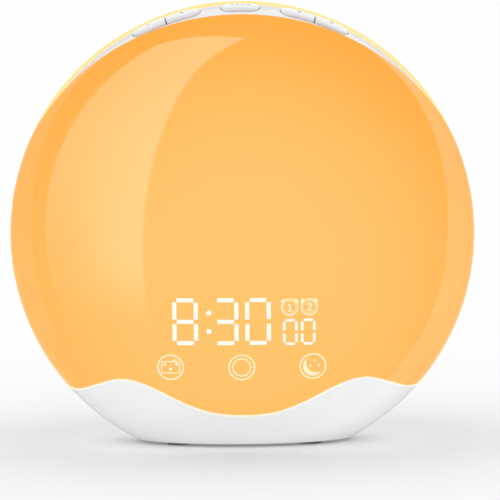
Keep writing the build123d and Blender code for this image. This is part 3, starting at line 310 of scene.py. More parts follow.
GLOW = glowing_plastic("glowing_plastic")
# white plastic with a faint even white glow: painted light that makes the pieces with the white_shell
# finish, such as the base shell and the wave lip, brighter than the lamps make them
GLOSSY_WHITE_PAINTED_GLOW = moulded(
    "glossy_white_plastic_painted_glow", colour(246, 246, 247), 0.16, Emission_Color=WHITE, Emission_Strength=0.10,
)
FINISHES = {
    "glowing_diffuser": GLOW,
    "white_shell": GLOSSY_WHITE_PAINTED_GLOW,
    "button_grey": key_plastic_painted_shade(),
    "white_inner": moulded("matt_white_plastic", colour(236, 236, 232), 0.5),
    "grey_rubber": moulded("grey_rubber_feet", colour(128, 128, 130), 0.8, 1800.0, 0.04 * MM),
    "zinc_steel": brushed_metal("zinc_plated_steel", colour(205, 206, 210), 0.3),
    "black_plastic": moulded("black_nylon", colour(30, 30, 32), 0.42),
    "amber_flex": circuit_board("amber_flexible_board", colour(190, 120, 40)),
    "white_board": circuit_board("white_led_board", colour(236, 236, 230)),
    "green_board": circuit_board("green_main_board", colour(24, 92, 52)),
    "warm_led": lit_mark("warm_led_lens", (1.0, 0.62, 0.25, 1)),
    "white_led": lit_mark("white_led_lens", (1.0, 0.95, 0.88, 1)),
    "clear_lens": moulded("frosted_light_guide", colour(238, 240, 240), 0.25),
    "touch_foam": moulded("grey_touch_foam", colour(110, 112, 116), 0.85, 900.0, 0.2 * MM),
    "grey_ribbon": woven_ribbon("grey_ribbon_cable", colour(160, 162, 166)),
    "cream_plastic": moulded("cream_connector_plastic", colour(235, 226, 198), 0.4),
    "spring_metal": brushed_metal("nickel_spring_steel", colour(215, 210, 196), 0.22),
    "cell_steel": brushed_metal("coin_cell_steel", colour(212, 213, 214), 0.2),
    "magnet": brushed_metal("nickel_plated_magnet", colour(150, 152, 156), 0.35),
    "black_paper": moulded("black_paper_cone", colour(28, 28, 30), 0.75, 1200.0, 0.1 * MM),
    "foam_black": moulded("black_foam_ring", colour(24, 24, 25), 0.9, 900.0, 0.2 * MM),
}
LIT_RIM = glowing_plastic("glowing_plastic_with_lit_rim", lit_rim=True)
BACK_WHITE = moulded("satin_white_plastic", colour(226, 226, 226), 0.38, 1500.0, 0.04 * MM)
KEY_PANEL_WHITE = moulded("gloss_white_key_panel", colour(233, 233, 234), 0.22)
OWN_FINISHES = {
    "rear_diffuser": LIT_RIM,
    "rear_panel": BACK_WHITE,
    "battery_door": BACK_WHITE,
    "button_panel": KEY_PANEL_WHITE,
}

for node in nodes.values():
    for slot in node.material_slots:
        slot.material = FINISHES[slot.material.name.split(".")[0]]
for name, finish in OWN_FINISHES.items():
    nodes[name].material_slots[0].material = finish


# ------------------------------------------------------------------ pieces made by geometry trees
GEOMETRY = "NodeSocketGeometry"
OBJECT = "NodeSocketObject"
LENGTH = "NodeSocketFloat"
WHOLE = "NodeSocketInt"
VECTOR = "NodeSocketVector"
MATERIAL = "NodeSocketMaterial"
SKIN_SIZES = {size: LENGTH for size in SKIN}


def new_tree(name, **inputs):
    """Geometry tree with named inputs, its inputs by name, and its sums on numbers."""
    tree = bpy.data.node_groups.new(name, "GeometryNodeTree")
    for label, kind in inputs.items():
        tree.interface.new_socket(label, in_out="INPUT", socket_type=kind)
    tree.interface.new_socket("Shape", in_out="OUTPUT", socket_type=GEOMETRY)
    given = tree.nodes.new("NodeGroupInput")
    return tree, {label: given.outputs[label] for label in inputs}, partial(sums, tree)


def grow(tree, kind, feeds, **settings):
    """New geometry node, with its inputs fed by name."""
    node = tree.nodes.new(kind)
    for setting, value in settings.items():
        setattr(node, setting, value)
    for label, feed in feeds.items():
        wire(tree, feed, node.inputs[label])
    return node


def here_in(tree):
    """Place of each point of a shape before it is moved."""
    return tree.nodes.new("GeometryNodeInputPosition").outputs[0]


def shape_of(tree, carrier):
    """Shape of another object."""
    return grow(tree, "GeometryNodeObjectInfo", {"Object": carrier}).outputs["Geometry"]


def unit_grid(tree, steps_x, steps_y):
    """Flat square of side 1 with a number of steps each way."""
    return grow(tree, "GeometryNodeMeshGrid", {
        "Size X": 1.0,
        "Size Y": 1.0,
        "Vertices X": sums(tree, "ADD", steps_x, 1.0),
        "Vertices Y": sums(tree, "ADD", steps_y, 1.0),
    }).outputs[0]


def cast(tree, onto, start, way):
    """Rays from a start along a way onto a shape."""
    return grow(tree, "GeometryNodeRaycast", {
        "Target Geometry": onto, "Source Position": start, "Ray Direction": way, "Ray Length": 1.0,
    }).outputs


def moved(tree, shape, spot, offset=None):
    """Shape with its points at other places."""
    feeds = {"Geometry": shape, "Position": spot, "Offset": offset}
    return grow(tree, "GeometryNodeSetPosition", feeds).outputs[0]


def merged(tree, shape):
    """Shape with points that fall together made one."""
    feeds = {"Geometry": shape, "Distance": SAME_POINT}
    return grow(tree, "GeometryNodeMergeByDistance", feeds).outputs[0]


def smoothed(tree, shape):
    """Shape with smooth shading."""
    feeds = {"Geometry": shape, "Shade Smooth": True}
    return grow(tree, "GeometryNodeSetShadeSmooth", feeds).outputs[0]


def scaled(tree, vector, size):
    """Vector made longer or shorter."""
    return grow(tree, "ShaderNodeVectorMath", {0: vector, "Scale": size}, operation="SCALE").outputs[0]


def set_out(tree, places, piece, facing):
    """One piece at each place, turned to face a way."""
    feeds = {"Points": places, "Instance": piece, "Rotation": facing}
    return grow(tree, "GeometryNodeInstanceOnPoints", feeds).outputs[0]


def turned_by(tree, angles):
    """Rotation by angles about X, Y and Z."""
    return grow(tree, "FunctionNodeEulerToRotation", {"Euler": angles}).outputs[0]


def end_tree(tree, shape, finish):
    """Last steps of every tree: real geometry with its finish."""
    real = grow(tree, "GeometryNodeRealizeInstances", {"Geometry": shape}).outputs[0]
    dressed = grow(tree, "GeometryNodeSetMaterial", {"Geometry": real, "Material": finish}).outputs[0]
    tree.links.new(dressed, tree.nodes.new("NodeGroupOutput").inputs[0])
    return tree


def plain_mesh(name, points=(), edges=(), faces=()):
    """Mesh of bare points, edges and faces."""
    mesh = bpy.data.meshes.new(name)
    mesh.from_pydata(points, edges, faces)
    return mesh


def in_scene(name, data):
    """New object in the scene."""
    made = bpy.data.objects.new(name, data)
    scene.collection.objects.link(made)
    return made


def made_by(tree, name, mesh=None, **values):
    """Piece that a tree makes, from a mesh or from nothing, as a plain mesh of its own."""
    piece = in_scene(name, mesh or plain_mesh(name))
    maker = piece.modifiers.new("maker", "NODES")
    maker.node_group = tree
    for item in tree.interface.items_tree:
        if item.in_out == "INPUT" and item.name in values:
            maker[item.identifier] = values[item.name]
    bpy.context.view_layer.update()
    ready = piece.evaluated_get(bpy.context.evaluated_depsgraph_get())
    shape = bpy.data.meshes.new_from_object(ready)
    piece.modifiers.remove(maker)
    piece.data = shape
    return piece


def settle(piece, body, slot, *replaced):
    """Hand a finished piece over to the body that carries it."""
    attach(piece, body)
    if replaced:
        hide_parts(*replaced)


def outward(piece):
    """Turn a closed piece's faces outwards."""
    build = bmesh.new()
    build.from_mesh(piece.data)
    bmesh.ops.recalc_face_normals(build, faces=build.faces)
    build.to_mesh(piece.data)
    build.free()


def inlay_tree():
    """Lays flat outlines on a piece along a direction, as closed inlays of a given depth."""
    tree, given, maths = new_tree(
        "inlay", Outlines=GEOMETRY, Carrier=OBJECT, Way=VECTOR, Lift=LENGTH, Depth=LENGTH, Finish=MATERIAL,
    )
    faces = grow(tree, "GeometryNodeTriangulate", {"Mesh": given["Outlines"]}).outputs[0]
    faces = grow(tree, "GeometryNodeSubdivideMesh", {"Mesh": faces, "Level": 2}).outputs[0]
    hit = cast(tree, shape_of(tree, given["Carrier"]), here_in(tree), given["Way"])["Hit Position"]
    sunk = scaled(tree, given["Way"], maths("SUBTRACT", given["Depth"], given["Lift"]))
    laid = moved(tree, faces, vectors(tree, "ADD", hit, sunk))
    rise = scaled(tree, given["Way"], maths("MULTIPLY", given["Depth"], -1.0))
    raised = grow(tree, "GeometryNodeExtrudeMesh", {
        "Mesh": laid, "Offset": rise, "Offset Scale": 1.0, "Individual": False,
    }).outputs[0]
    underside = grow(tree, "GeometryNodeFlipFaces", {"Mesh": laid}).outputs[0]
    both = tree.nodes.new("GeometryNodeJoinGeometry")
    tree.links.new(underside, both.inputs[0])
    tree.links.new(raised, both.inputs[0])
    return end_tree(tree, merged(tree, both.outputs[0]), given["Finish"])


INLAY = inlay_tree()


def inlaid(name, outlines, carrier, way, finish, body, slot, depth=0.12 * MM, lift=0.03 * MM):
    """Marks laid on a piece: outlines are lists of points that face against the way."""
    points = [point for outline in outlines for point in outline]
    starts = [sum(len(outline) for outline in outlines[:index]) for index in range(len(outlines))]
    faces = [tuple(range(start, start + len(outline))) for start, outline in zip(starts, outlines)]
    mesh = plain_mesh(name, points, faces=faces)
    values = {"Carrier": carrier, "Way": way, "Lift": lift, "Depth": depth, "Finish": finish}
    piece = made_by(INLAY, name, mesh, **values)
    settle(piece, body, slot)


# ------------------------------------------------------------------ front shell of the ball
SKIN_OUT = 0.2  # rims lie beyond this share of the radius, squared
SKIN_TOLERANCE = 0.0015


def rim_of(name, node, inset):
    """Object with the sharp edges of a CAD piece that lie on the ball at an inset."""
    build = bmesh.new()
    build.from_mesh(nodes[node].data)
    bmesh.ops.remove_doubles(build, verts=build.verts, dist=SAME_POINT)
    wide, deep = BALL_RADIUS - inset, BALL_HALF_DEPTH - inset

    def on_skin(point):
        out = (point.x**2 + (point.z - CENTRE_Z) ** 2) / wide**2
        return out > SKIN_OUT and abs(out + point.y**2 / deep**2 - 1) < SKIN_TOLERANCE

    def is_rim(edge):
        bends = len(edge.link_faces) == 2 and edge.calc_face_angle() > SHARP
        return bends and all(on_skin(vert.co) for vert in edge.verts)

    found = [edge for edge in build.edges if is_rim(edge)]
    used = sorted({vert for edge in found for vert in edge.verts}, key=lambda vert: vert.index)
    order = {vert: number for number, vert in enumerate(used)}
    points = [tuple(vert.co) for vert in used]
    edges = [tuple(order[vert] for vert in edge.verts) for edge in found]
    build.free()
    return in_scene(name, plain_mesh(name, points, edges))


RIBBON = 0.01  # width of the ribbons that the spokes meet


def shell_tree():
    """Shell on the ball between two rims: spokes from the middle out over the skin, across the
    wall and back, with the wall's edges slightly rounded."""
    tree, given, maths = new_tree(
        "ball_shell", Blank=GEOMETRY, Outer=OBJECT, Inner=OBJECT, **SKIN_SIZES, Wall=LENGTH, Seam=LENGTH,
        Edge=LENGTH, Push=LENGTH, Spokes=WHOLE, Rows=WHOLE, Finish=MATERIAL,
    )
    rows = given["Rows"]
    last_row = maths("MULTIPLY_ADD", rows, 2.0, 3.0)
    grid = unit_grid(tree, given["Spokes"], last_row)
    here = here_in(tree)
    across, along, _ = split(tree, here)
    turn = maths("MULTIPLY", maths("ADD", across, 0.5), 2 * pi)
    row = maths("ROUND", maths("MULTIPLY", maths("ADD", along, 0.5), last_row))
    sine, cosine = maths("SINE", turn), maths("COSINE", turn)
    spoke = joined(tree, sine, None, cosine)
    middle = joined(tree, None, None, given["Centre"])

    def reach(rim):
        """Distance along each spoke to a rim, which is drawn out along Y into a ribbon."""
        flat = vectors(tree, "MULTIPLY", here, (1, 0, 1))
        low = moved(tree, shape_of(tree, rim), flat, (0, -RIBBON / 2, 0))
        feeds = {"Mesh": low, "Offset": joined(tree, None, RIBBON), "Offset Scale": 1.0}
        ribbon = grow(tree, "GeometryNodeExtrudeMesh", feeds, mode="EDGES").outputs[0]
        ray = cast(tree, ribbon, middle, spoke)
        missed = maths("SUBTRACT", 1.0, ray["Is Hit"])
        return maths("ADD", ray["Hit Distance"], missed)

    def rest_of_square(value):
        """One less the square of a value."""
        return maths("SUBTRACT", 1.0, maths("MULTIPLY", value, value))

    past_skin = maths("GREATER_THAN", row, rows)
    past_edge = maths("GREATER_THAN", row, maths("ADD", rows, 1.0))
    past_wall = maths("GREATER_THAN", row, maths("ADD", rows, 2.0))
    body_wall = maths("MULTIPLY_ADD", given["Edge"], -2.0, given["Wall"])
    inset = maths("MULTIPLY", maths("ADD", past_skin, past_wall), given["Edge"])
    inset = maths("MULTIPLY_ADD", past_edge, body_wall, inset)
    wide = maths("SUBTRACT", given["Radius"], inset)
    deep = maths("SUBTRACT", given["Deep"], inset)

    out_share = maths("SUBTRACT", 1.0, maths("MINIMUM", maths("DIVIDE", row, rows), 1.0))
    back_row = maths("SUBTRACT", maths("SUBTRACT", row, rows), 3.0)
    back_share = maths("MAXIMUM", maths("DIVIDE", back_row, rows), 0.0)
    share = maths("MULTIPLY", rest_of_square(out_share), rest_of_square(back_share))

    outer, inner = reach(given["Outer"]), reach(given["Inner"])
    part = maths("DIVIDE", inset, given["Wall"])
    mixed = maths("MULTIPLY_ADD", maths("SUBTRACT", inner, outer), part, outer)
    seam_level = maths("SQRT", rest_of_square(maths("DIVIDE", given["Seam"], deep)))
    limit = maths("MINIMUM", maths("MULTIPLY", wide, seam_level), maths("ADD", mixed, given["Push"]))
    on_edge = maths("SUBTRACT", past_skin, past_wall)
    pull = maths("MULTIPLY", maths("SUBTRACT", 1.0, on_edge), given["Edge"])
    out = maths("MULTIPLY", share, maths("SUBTRACT", limit, pull))
    depth = maths("SQRT", maths("MAXIMUM", rest_of_square(maths("DIVIDE", out, wide)), 0.0))
    ahead = maths("MULTIPLY", maths("MULTIPLY", depth, deep), -1.0)
    up = maths("MULTIPLY_ADD", cosine, out, given["Centre"])
    bent = moved(tree, grid, joined(tree, maths("MULTIPLY", sine, out), ahead, up))
    return end_tree(tree, smoothed(tree, merged(tree, bent)), given["Finish"])


outer_rim = rim_of("outer_rim", "front_diffuser", 0.0)
inner_rim = rim_of("inner_rim", "front_diffuser", DIFFUSER_WALL)
front_shell = made_by(
    shell_tree(), "front_shell", Outer=outer_rim, Inner=inner_rim, Wall=DIFFUSER_WALL, Seam=SEAM,
    Edge=WALL_EDGE, Push=RIM_PUSH, Spokes=SHELL_SPOKES, Rows=SHELL_ROWS, Finish=GLOW, **SKIN,
)
for rim in (outer_rim, inner_rim):
    bpy.data.objects.remove(rim)
settle(front_shell, "clock_body", "glowing_diffuser", "front_diffuser")


# ------------------------------------------------------------------ outlines of marks
def rounded_block(x, z, width, height, corner=0.3):
    """Outline of a block with rounded corners, seen from the front."""
    aside, above = width / 2 - corner, height / 2 - corner
    points = []
    for side, level, start in ((1, 1, 0), (-1, 1, 90), (-1, -1, 180), (1, -1, 270)):
        for step in (0, 30, 60, 90):
            turn = radians(start + step)
            points.append((x + side * aside + corner * cos(turn), z + level * above + corner * sin(turn)))
    return points


def disc(x, z, radius, steps=24):
    """Outline of a round spot."""
    turns = [2 * pi * step / steps for step in range(steps)]
    return [(x + radius * cos(turn), z + radius * sin(turn)) for turn in turns]


def ring(x, z, radius, stroke, start=0.0, end=360.0, steps=48):
    """Short pieces of a ring between two angles, anticlockwise from the right."""
    low, high = radius - stroke / 2, radius + stroke / 2
    parts = []
    for step in range(steps):
        turns = [radians(start + (end - start) * (step + more) / steps) for more in (0, 1)]
        corners = ((low, turns[0]), (high, turns[0]), (high, turns[1]), (low, turns[1]))
        parts.append([(x + far * cos(turn), z + far * sin(turn)) for far, turn in corners])
    return parts


def wavy_ring(x, z, radius, wave, waves, stroke, steps=96):
    """Short pieces of a ring whose radius swells and shrinks evenly."""
    parts = []
    for step in range(steps):
        corners = []
        for side, more in ((-1, 0), (1, 0), (1, 1), (-1, 1)):
            turn = 2 * pi * (step + more) / steps
            far = radius + wave * cos(waves * turn) + side * stroke / 2
            corners.append((x + far * cos(turn), z + far * sin(turn)))
        parts.append(corners)
    return parts


def crescent(x, z, radius, cut, cut_radius, steps=20):
    """Moon: short pieces between a circle and the one that cuts it, up and to the right."""
    cut_x, cut_z = x + cut, z + cut
    gap = Vector((cut_x - x, cut_z - z))
    apart = gap.length
    reach = (radius**2 - cut_radius**2 + apart**2) / (2 * apart)
    opening = atan2(sqrt(radius**2 - reach**2), reach)
    cut_opening = atan2(sqrt(radius**2 - reach**2), reach - apart)
    facing = atan2(gap.y, gap.x)
    outer, inner = [], []
    for step in range(steps + 1):
        share = step / steps
        turn = facing + opening + (2 * pi - 2 * opening) * share
        back = facing + cut_opening + (2 * pi - 2 * cut_opening) * share
        outer.append((x + radius * cos(turn), z + radius * sin(turn)))
        inner.append((cut_x + cut_radius * cos(back), cut_z + cut_radius * sin(back)))
    return [[outer[i], outer[i + 1], inner[i + 1], inner[i]] for i in range(steps)]


def stroke_line(x1, z1, x2, z2, width):
    """Outline of a straight stroke."""
    along = Vector((x2 - x1, z2 - z1))
    side = Vector((-along.y, along.x)).normalized() * width / 2
    corners = ((x1, z1, -1), (x2, z2, -1), (x2, z2, 1), (x1, z1, 1))
    return [(x + way * side.x, z + way * side.y) for x, z, way in corners]


def strokes(lines, x=0.0, z=0.0):
    """Outlines of strokes: each line has its two ends, from a middle, and its width."""
    return [stroke_line(x + x1, z + z1, x + x2, z + z2, width) for x1, z1, x2, z2, width in lines]


SHOWN = {"8": "abcdefg", "3": "abcdg", "0": "abcdef"}
CELL_TRIM = 0.03


def seven_cells(shown, x, z, width, height, stroke):
    """Lit cells of one digit: bars across and uprights, as in the light box behind."""
    reach_x, reach_z = (width - stroke) / 2, (height - stroke) / 2
    across = (width - 2 * stroke - 2 * CELL_TRIM, stroke - 2 * CELL_TRIM)
    up = (stroke - 2 * CELL_TRIM, reach_z - stroke - CELL_TRIM)
    rise = reach_z / 2
    cells = {
        "a": (x, z + reach_z, *across), "g": (x, z, *across), "d": (x, z - reach_z, *across),
        "f": (x - reach_x, z + rise, *up), "b": (x + reach_x, z + rise, *up),
        "e": (x - reach_x, z - rise, *up), "c": (x + reach_x, z - rise, *up),
    }
    return [rounded_block(*cells[cell]) for cell in SHOWN[shown]]


# ------------------------------------------------------------------ lit display, in millimetres
BEFORE_FRONT = -0.06  # rays start this far in front, in metres
TIME_DIGITS = (("8", -22.4), ("3", -6.7), ("0", 5.8))
TIME_CELLS = {"z": 52.3, "width": 10.0, "height": 18.7, "stroke": 1.7}
SMALL_DIGITS = (("0", 18.25), ("0", 25.2))
SMALL_CELLS = {"z": 47.9, "width": 5.8, "height": 10.5, "stroke": 1.1}
COLON_X = -13.2
COLON_HEIGHTS = (55.8, 48.5)
COLON_BLOCK = (1.9, 1.9, 0.6)  # width, height and corner

ALARM_Z = 57.7
ALARM_RINGS = ((3.15, 0.45), (2.45, 0.2))  # radius and stroke
EARS = ((-2.1, 60.9, -3.3, 59.7, 0.8), (2.1, 60.9, 3.3, 59.7, 0.8))
ONE = ((0.1, 56.3, 0.1, 59.1, 0.6), (0.1, 59.0, -0.75, 58.3, 0.45), (-0.75, 56.3, 0.95, 56.3, 0.45))
TWO = ((0.72, 58.1, -0.72, 56.4, 0.55), (-0.95, 56.35, 0.98, 56.35, 0.5))
TWO_BOW = (58.4, 0.78, 0.55, 180, -20, 14)  # height, radius, stroke, two angles and steps
ALARMS = ((18.05, (), ONE), (25.65, (TWO_BOW,), TWO))

ICON_Z = 33.95
RADIO_X = -28.35
SUN_X = -0.7
MOON_X = 27.0
TOUCH_RING = (4.97, 0.55)
RADIO_CASE = (
    (-3.5, 2.3, 3.5, 2.3, 0.4), (-3.5, -2.3, 3.5, -2.3, 0.4),
    (-3.5, -2.3, -3.5, 2.3, 0.4), (3.5, -2.3, 3.5, 2.3, 0.4),
)
RADIO_KNOBS = ((-2.3, 1.2, 0.62), (2.3, 1.2, 0.62), (0.0, -0.7, 0.68))
RADIO_AERIAL = ((0.8, 2.75, 2.4, 3.15, 0.4),)
SUN = {"radius": 3.45, "wave": 0.22, "waves": 12, "stroke": 0.5}
MOON = {"radius": 3.9, "cut": 1.45, "cut_radius": 4.1}
STARS = ((0.5, 2.3), (-1.0, 0.2), (2.3, 0.3))
STAR = ((-0.5, 0, 0.5, 0, 0.32), (0, -0.6, 0, 0.6, 0.32))


def front_marks(name, outlines, glow):
    """Lit marks on the front shell from outlines in X and Z."""
    points = [[(x * MM, BEFORE_FRONT, z * MM) for x, z in outline] for outline in outlines]
    inlaid(name, points, front_shell, (0, 1, 0), lit_mark(name, glow), "clock_body", "clear_lens")


def lit_time():
    """Hours, minutes, colon and the two small figures."""
    cells = []
    for digits, sizes in ((TIME_DIGITS, TIME_CELLS), (SMALL_DIGITS, SMALL_CELLS)):
        for shown, x in digits:
            cells += seven_cells(shown, x, **sizes)
    cells += [rounded_block(COLON_X, z, *COLON_BLOCK) for z in COLON_HEIGHTS]
    front_marks("lit_time", cells, (1.0, 0.97, 0.87, 1))


def lit_icons():
    """Two numbered alarm clocks above, and a radio, a sun and a moon below."""
    icons = []
    for x, bows, numeral in ALARMS:
        for size in ALARM_RINGS:
            icons += ring(x, ALARM_Z, *size)
        icons += strokes(EARS, x)
        for bow in bows:
            icons += ring(x, *bow)
        icons += strokes(numeral, x)
    for x in (RADIO_X, SUN_X, MOON_X):
        icons += ring(x, ICON_Z, *TOUCH_RING, steps=64)
    icons += strokes(RADIO_CASE, RADIO_X, ICON_Z)
    icons += [disc(RADIO_X + x, ICON_Z + z, radius) for x, z, radius in RADIO_KNOBS]
    icons += strokes(RADIO_AERIAL, RADIO_X, ICON_Z)
    icons += wavy_ring(SUN_X, ICON_Z, **SUN)
    icons += crescent(MOON_X, ICON_Z, **MOON)
    for x, z in STARS:
        icons += strokes(STAR, MOON_X + x, ICON_Z + z)
    front_marks("lit_icons", icons, (1.0, 0.90, 0.60, 1))


lit_time()
lit_icons()


# ------------------------------------------------------------------ trim on the wave edge
# lift of the trim: from and to a distance aside, and the lift there, in millimetres
LIFTS = ((10, 24, 1.6, 2.4), (26, 44, 0.0, -1.2), (57, 68, 0.0, -0.6))


def trim_tree():
    """Closed strip on the ball's skin that follows an edge all round. Its lower and upper sides lie
    at shares of a lift that swells over the flanks, and it stands proud of the skin."""
    tree, given, maths = new_tree(
        "wave_trim", Blank=GEOMETRY, Edge=OBJECT, **SKIN_SIZES, Low_share=LENGTH, Low=LENGTH, High=LENGTH,
        Proud=LENGTH, Round=LENGTH, Steps=WHOLE, Around=WHOLE, Finish=MATERIAL,
    )
    line = grow(tree, "GeometryNodeMeshToCurve", {"Mesh": shape_of(tree, given["Edge"])}).outputs[0]
    grid = unit_grid(tree, given["Steps"], given["Around"])
    across, along, _ = split(tree, here_in(tree))
    feeds = {"Curves": line, "Factor": maths("ADD", across, 0.5)}
    spot = grow(tree, "GeometryNodeSampleCurve", feeds, mode="FACTOR", use_all_curves=True)
    turn = maths("MULTIPLY", maths("ADD", along, 0.5), 2 * pi)

    def squared(value):
        """Sine or cosine drawn towards a box, as far as the roundness asks."""
        size = maths("POWER", maths("ABSOLUTE", value), given["Round"])
        return maths("MULTIPLY", maths("SIGN", value), size)

    rise_part = maths("MULTIPLY_ADD", squared(maths("COSINE", turn)), 0.5, 0.5)
    proud = maths("MULTIPLY", squared(maths("SINE", turn)), given["Proud"])
    x, y, z = split(tree, spot.outputs["Position"])
    aside = maths("ABSOLUTE", x)
    inner, flank, end = [eased(tree, aside, *[value * MM for value in lift]) for lift in LIFTS]
    lift = maths("ADD", maths("ADD", inner, flank), end)
    low = maths("MULTIPLY_ADD", lift, given["Low_share"], given["Low"])
    high = maths("ADD", lift, given["High"])
    rise = maths("MULTIPLY_ADD", maths("SUBTRACT", high, low), rise_part, low)
    height = maths("SUBTRACT", maths("ADD", z, rise), given["Centre"])
    wide, deep = maths("ADD", given["Radius"], proud), maths("ADD", given["Deep"], proud)
    shares = [maths("DIVIDE", value, size) for value, size in ((x, wide), (y, deep), (height, wide))]
    squares = [maths("MULTIPLY", share, share) for share in shares]
    room = maths("SUBTRACT", 1.0, squares[2])
    out = maths("SQRT", maths("DIVIDE", room, maths("ADD", squares[0], squares[1])))
    up = maths("ADD", height, given["Centre"])
    on_skin = joined(tree, maths("MULTIPLY", x, out), maths("MULTIPLY", y, out), up)
    closed = merged(tree, moved(tree, grid, on_skin))
    return end_tree(tree, smoothed(tree, closed), given["Finish"])


def wave_trims():
    """White lip over the foot of both shells, with a thin glowing cream bead along its top: painted light
    that stands in for the glow leaking out where the shells meet the base.
    """
    edge = rim_of("wave_edge", "base_shell", 0.0)
    # painted light: the bead glows with no lamp of its own, as a line of light along the shells' lower
    # edge
    edge_glow_finish = lit_mark("painted_edge_glow", (1.0, 0.91, 0.70, 1))
    lip = {
        "Low_share": 0.0, "Low": -0.12 * MM, "High": 0.0, "Proud": 0.13 * MM, "Round": 0.3, "Around": 20,
        "Finish": FINISHES["white_shell"],
    }
    bead = {
        "Low_share": 1.0, "Low": -0.34 * MM, "High": 0.34 * MM, "Proud": 0.28 * MM, "Round": 1.0,
        "Around": 12, "Finish": edge_glow_finish,
    }
    trim = trim_tree()
    for name, sizes, slot in (("wave_lip", lip, "white_shell"), ("wave_bead", bead, "cream_plastic")):
        piece = made_by(trim, name, Edge=edge, Steps=TRIM_STEPS, **sizes, **SKIN)
        outward(piece)
        settle(piece, "clock_body", slot)
    bpy.data.objects.remove(edge)


wave_trims()


# ------------------------------------------------------------------ marks on the keys
KEY_MARKS_Y = -6.4 * MM
ABOVE_KEYS = 0.11  # rays start this far from the ball's centre, in metres
MARK_DEPTH = 0.08 * MM
MARK_LIFT = 0.02 * MM

# shapes in millimetres
DASH = ((-0.9, 0, 0.9, 0, 0.4),)
PLUS = (*DASH, (0, -0.9, 0, 0.9, 0.4))
BARS = [(x, 0, x + 1.6, 0, 0.4) for x in (-4.0, -1.9, 0.3, 2.4)]
ARROW_BACK = [[(0.8, -0.8), (0.8, 0.8), (-0.8, 0.0)]]
ARROW_AHEAD = [[(-0.8, -0.8), (0.8, 0.0), (-0.8, 0.8)]]
KEY_MARKS = (  # key, side of its group, millimetres along the group, mark
    ("left_outer", -1, -7.0, strokes(DASH)),
    ("left_inner", -1, 7.0, strokes(PLUS)),
    ("middle", 0, 0.0, strokes(BARS)),
    ("right_inner", 1, -7.0, ARROW_BACK),
    ("right_outer", 1, 7.0, ARROW_AHEAD),
)


def key_marks():
    """Small dark marks near the back edge of each key."""
    dark = moulded("dark_grey_ink", colour(118, 118, 122), 0.5)
    for name, lean, aside, marks in KEY_MARKS:
        angle = lean * KEY_GROUP_ANGLE
        out, side = Vector((sin(angle), 0, cos(angle))), Vector((cos(angle), 0, -sin(angle)))
        start = Vector((0, KEY_MARKS_Y, CENTRE_Z)) + out * ABOVE_KEYS + side * aside * MM
        outlines = [
            [tuple(start + side * x * MM + Vector((0, y * MM, 0))) for x, y in mark] for mark in marks
        ]
        key = "button_" + name
        inlaid(
            "mark_" + name, outlines, nodes[key], tuple(-out), dark, key, "black_plastic",
            MARK_DEPTH, MARK_LIFT,
        )


key_marks()


# ------------------------------------------------------------------ screws and speaker grille
CROSS_LONG = 1.25  # sides and depth of the cross recess, as shares of the head
CROSS_SHORT = 0.32
CROSS_DEEP = 1.5


def screw_tree():
    """Screws with a bevelled round head and a cross recess, one at each place."""
    tree, given, maths = new_tree(
        "screws", Places=GEOMETRY, Turn=VECTOR, Head=LENGTH, Thick=LENGTH, Shank=LENGTH, Long=LENGTH,
        Bevel=LENGTH, Seed=WHOLE, Finish=MATERIAL,
    )
    head, thick, shank, long, bevel = [given[size] for size in ("Head", "Thick", "Shank", "Long", "Bevel")]
    feeds = {"Vertices": 40, "Side Segments": 4, "Radius": 1.0, "Depth": 4.0}
    rod = grow(tree, "GeometryNodeMeshCylinder", feeds).outputs[0]
    x, y, z = split(tree, here_in(tree))
    row = maths("ROUND", maths("ADD", z, 2.0))
    past = [maths("GREATER_THAN", row, step + 0.5) for step in range(4)]
    radius = maths("MULTIPLY_ADD", past[1], maths("SUBTRACT", head, shank), shank)
    radius = maths("MULTIPLY_ADD", past[3], maths("MULTIPLY", bevel, -1.0), radius)
    tip = maths("MULTIPLY", long, -1.0)
    level = maths("MULTIPLY_ADD", past[0], maths("SUBTRACT", long, thick), tip)
    level = maths("MULTIPLY_ADD", past[2], maths("SUBTRACT", thick, bevel), level)
    level = maths("MULTIPLY_ADD", past[3], bevel, level)
    spot = joined(tree, maths("MULTIPLY", x, radius), maths("MULTIPLY", y, radius), level)
    cross = grow(tree, "GeometryNodeMeshBoolean", {0: moved(tree, rod, spot)}, operation="DIFFERENCE")
    wide, narrow = maths("MULTIPLY", head, CROSS_LONG), maths("MULTIPLY", head, CROSS_SHORT)
    for sides in ((wide, narrow), (narrow, wide)):
        size = joined(tree, *sides, maths("MULTIPLY", thick, CROSS_DEEP))
        bar = grow(tree, "GeometryNodeMeshCube", {"Size": size}).outputs[0]
        tree.links.new(bar, cross.inputs[1])
    set_in = set_out(tree, given["Places"], cross.outputs[0], turned_by(tree, given["Turn"]))
    chance = tree.nodes.new("FunctionNodeRandomValue")
    chance.inputs[3].default_value = pi / 2
    tree.links.new(given["Seed"], chance.inputs["Seed"])
    twist = turned_by(tree, joined(tree, None, None, chance.outputs[1]))
    feeds = {"Instances": set_in, "Rotation": twist, "Local Space": True}
    turned = grow(tree, "GeometryNodeRotateInstances", feeds).outputs[0]
    return end_tree(tree, turned, given["Finish"])


TOWARDS_BACK = (-pi / 2, 0.0, 0.0)
TOWARDS_DESK = (pi, 0.0, 0.0)
SCREWS = (  # name, CAD screws, body, way, places and length in millimetres, seed
    ("panel_screws", "rear_panel_screws", "clock_body", TOWARDS_BACK,
     [(x, PANEL_SCREW_HEADS, z) for x, z in PANEL_SCREWS], 13.5, 3),
    ("door_screw", "battery_door_screw", "battery_door", TOWARDS_BACK, [DOOR_SCREW], 6.08, 5),
    ("desk_screws", "base_screws", "clock_body", TOWARDS_DESK,
     [(x, y, BASE_SCREW_HEADS) for x, y in BASE_SCREWS], 6.0, 7),
)


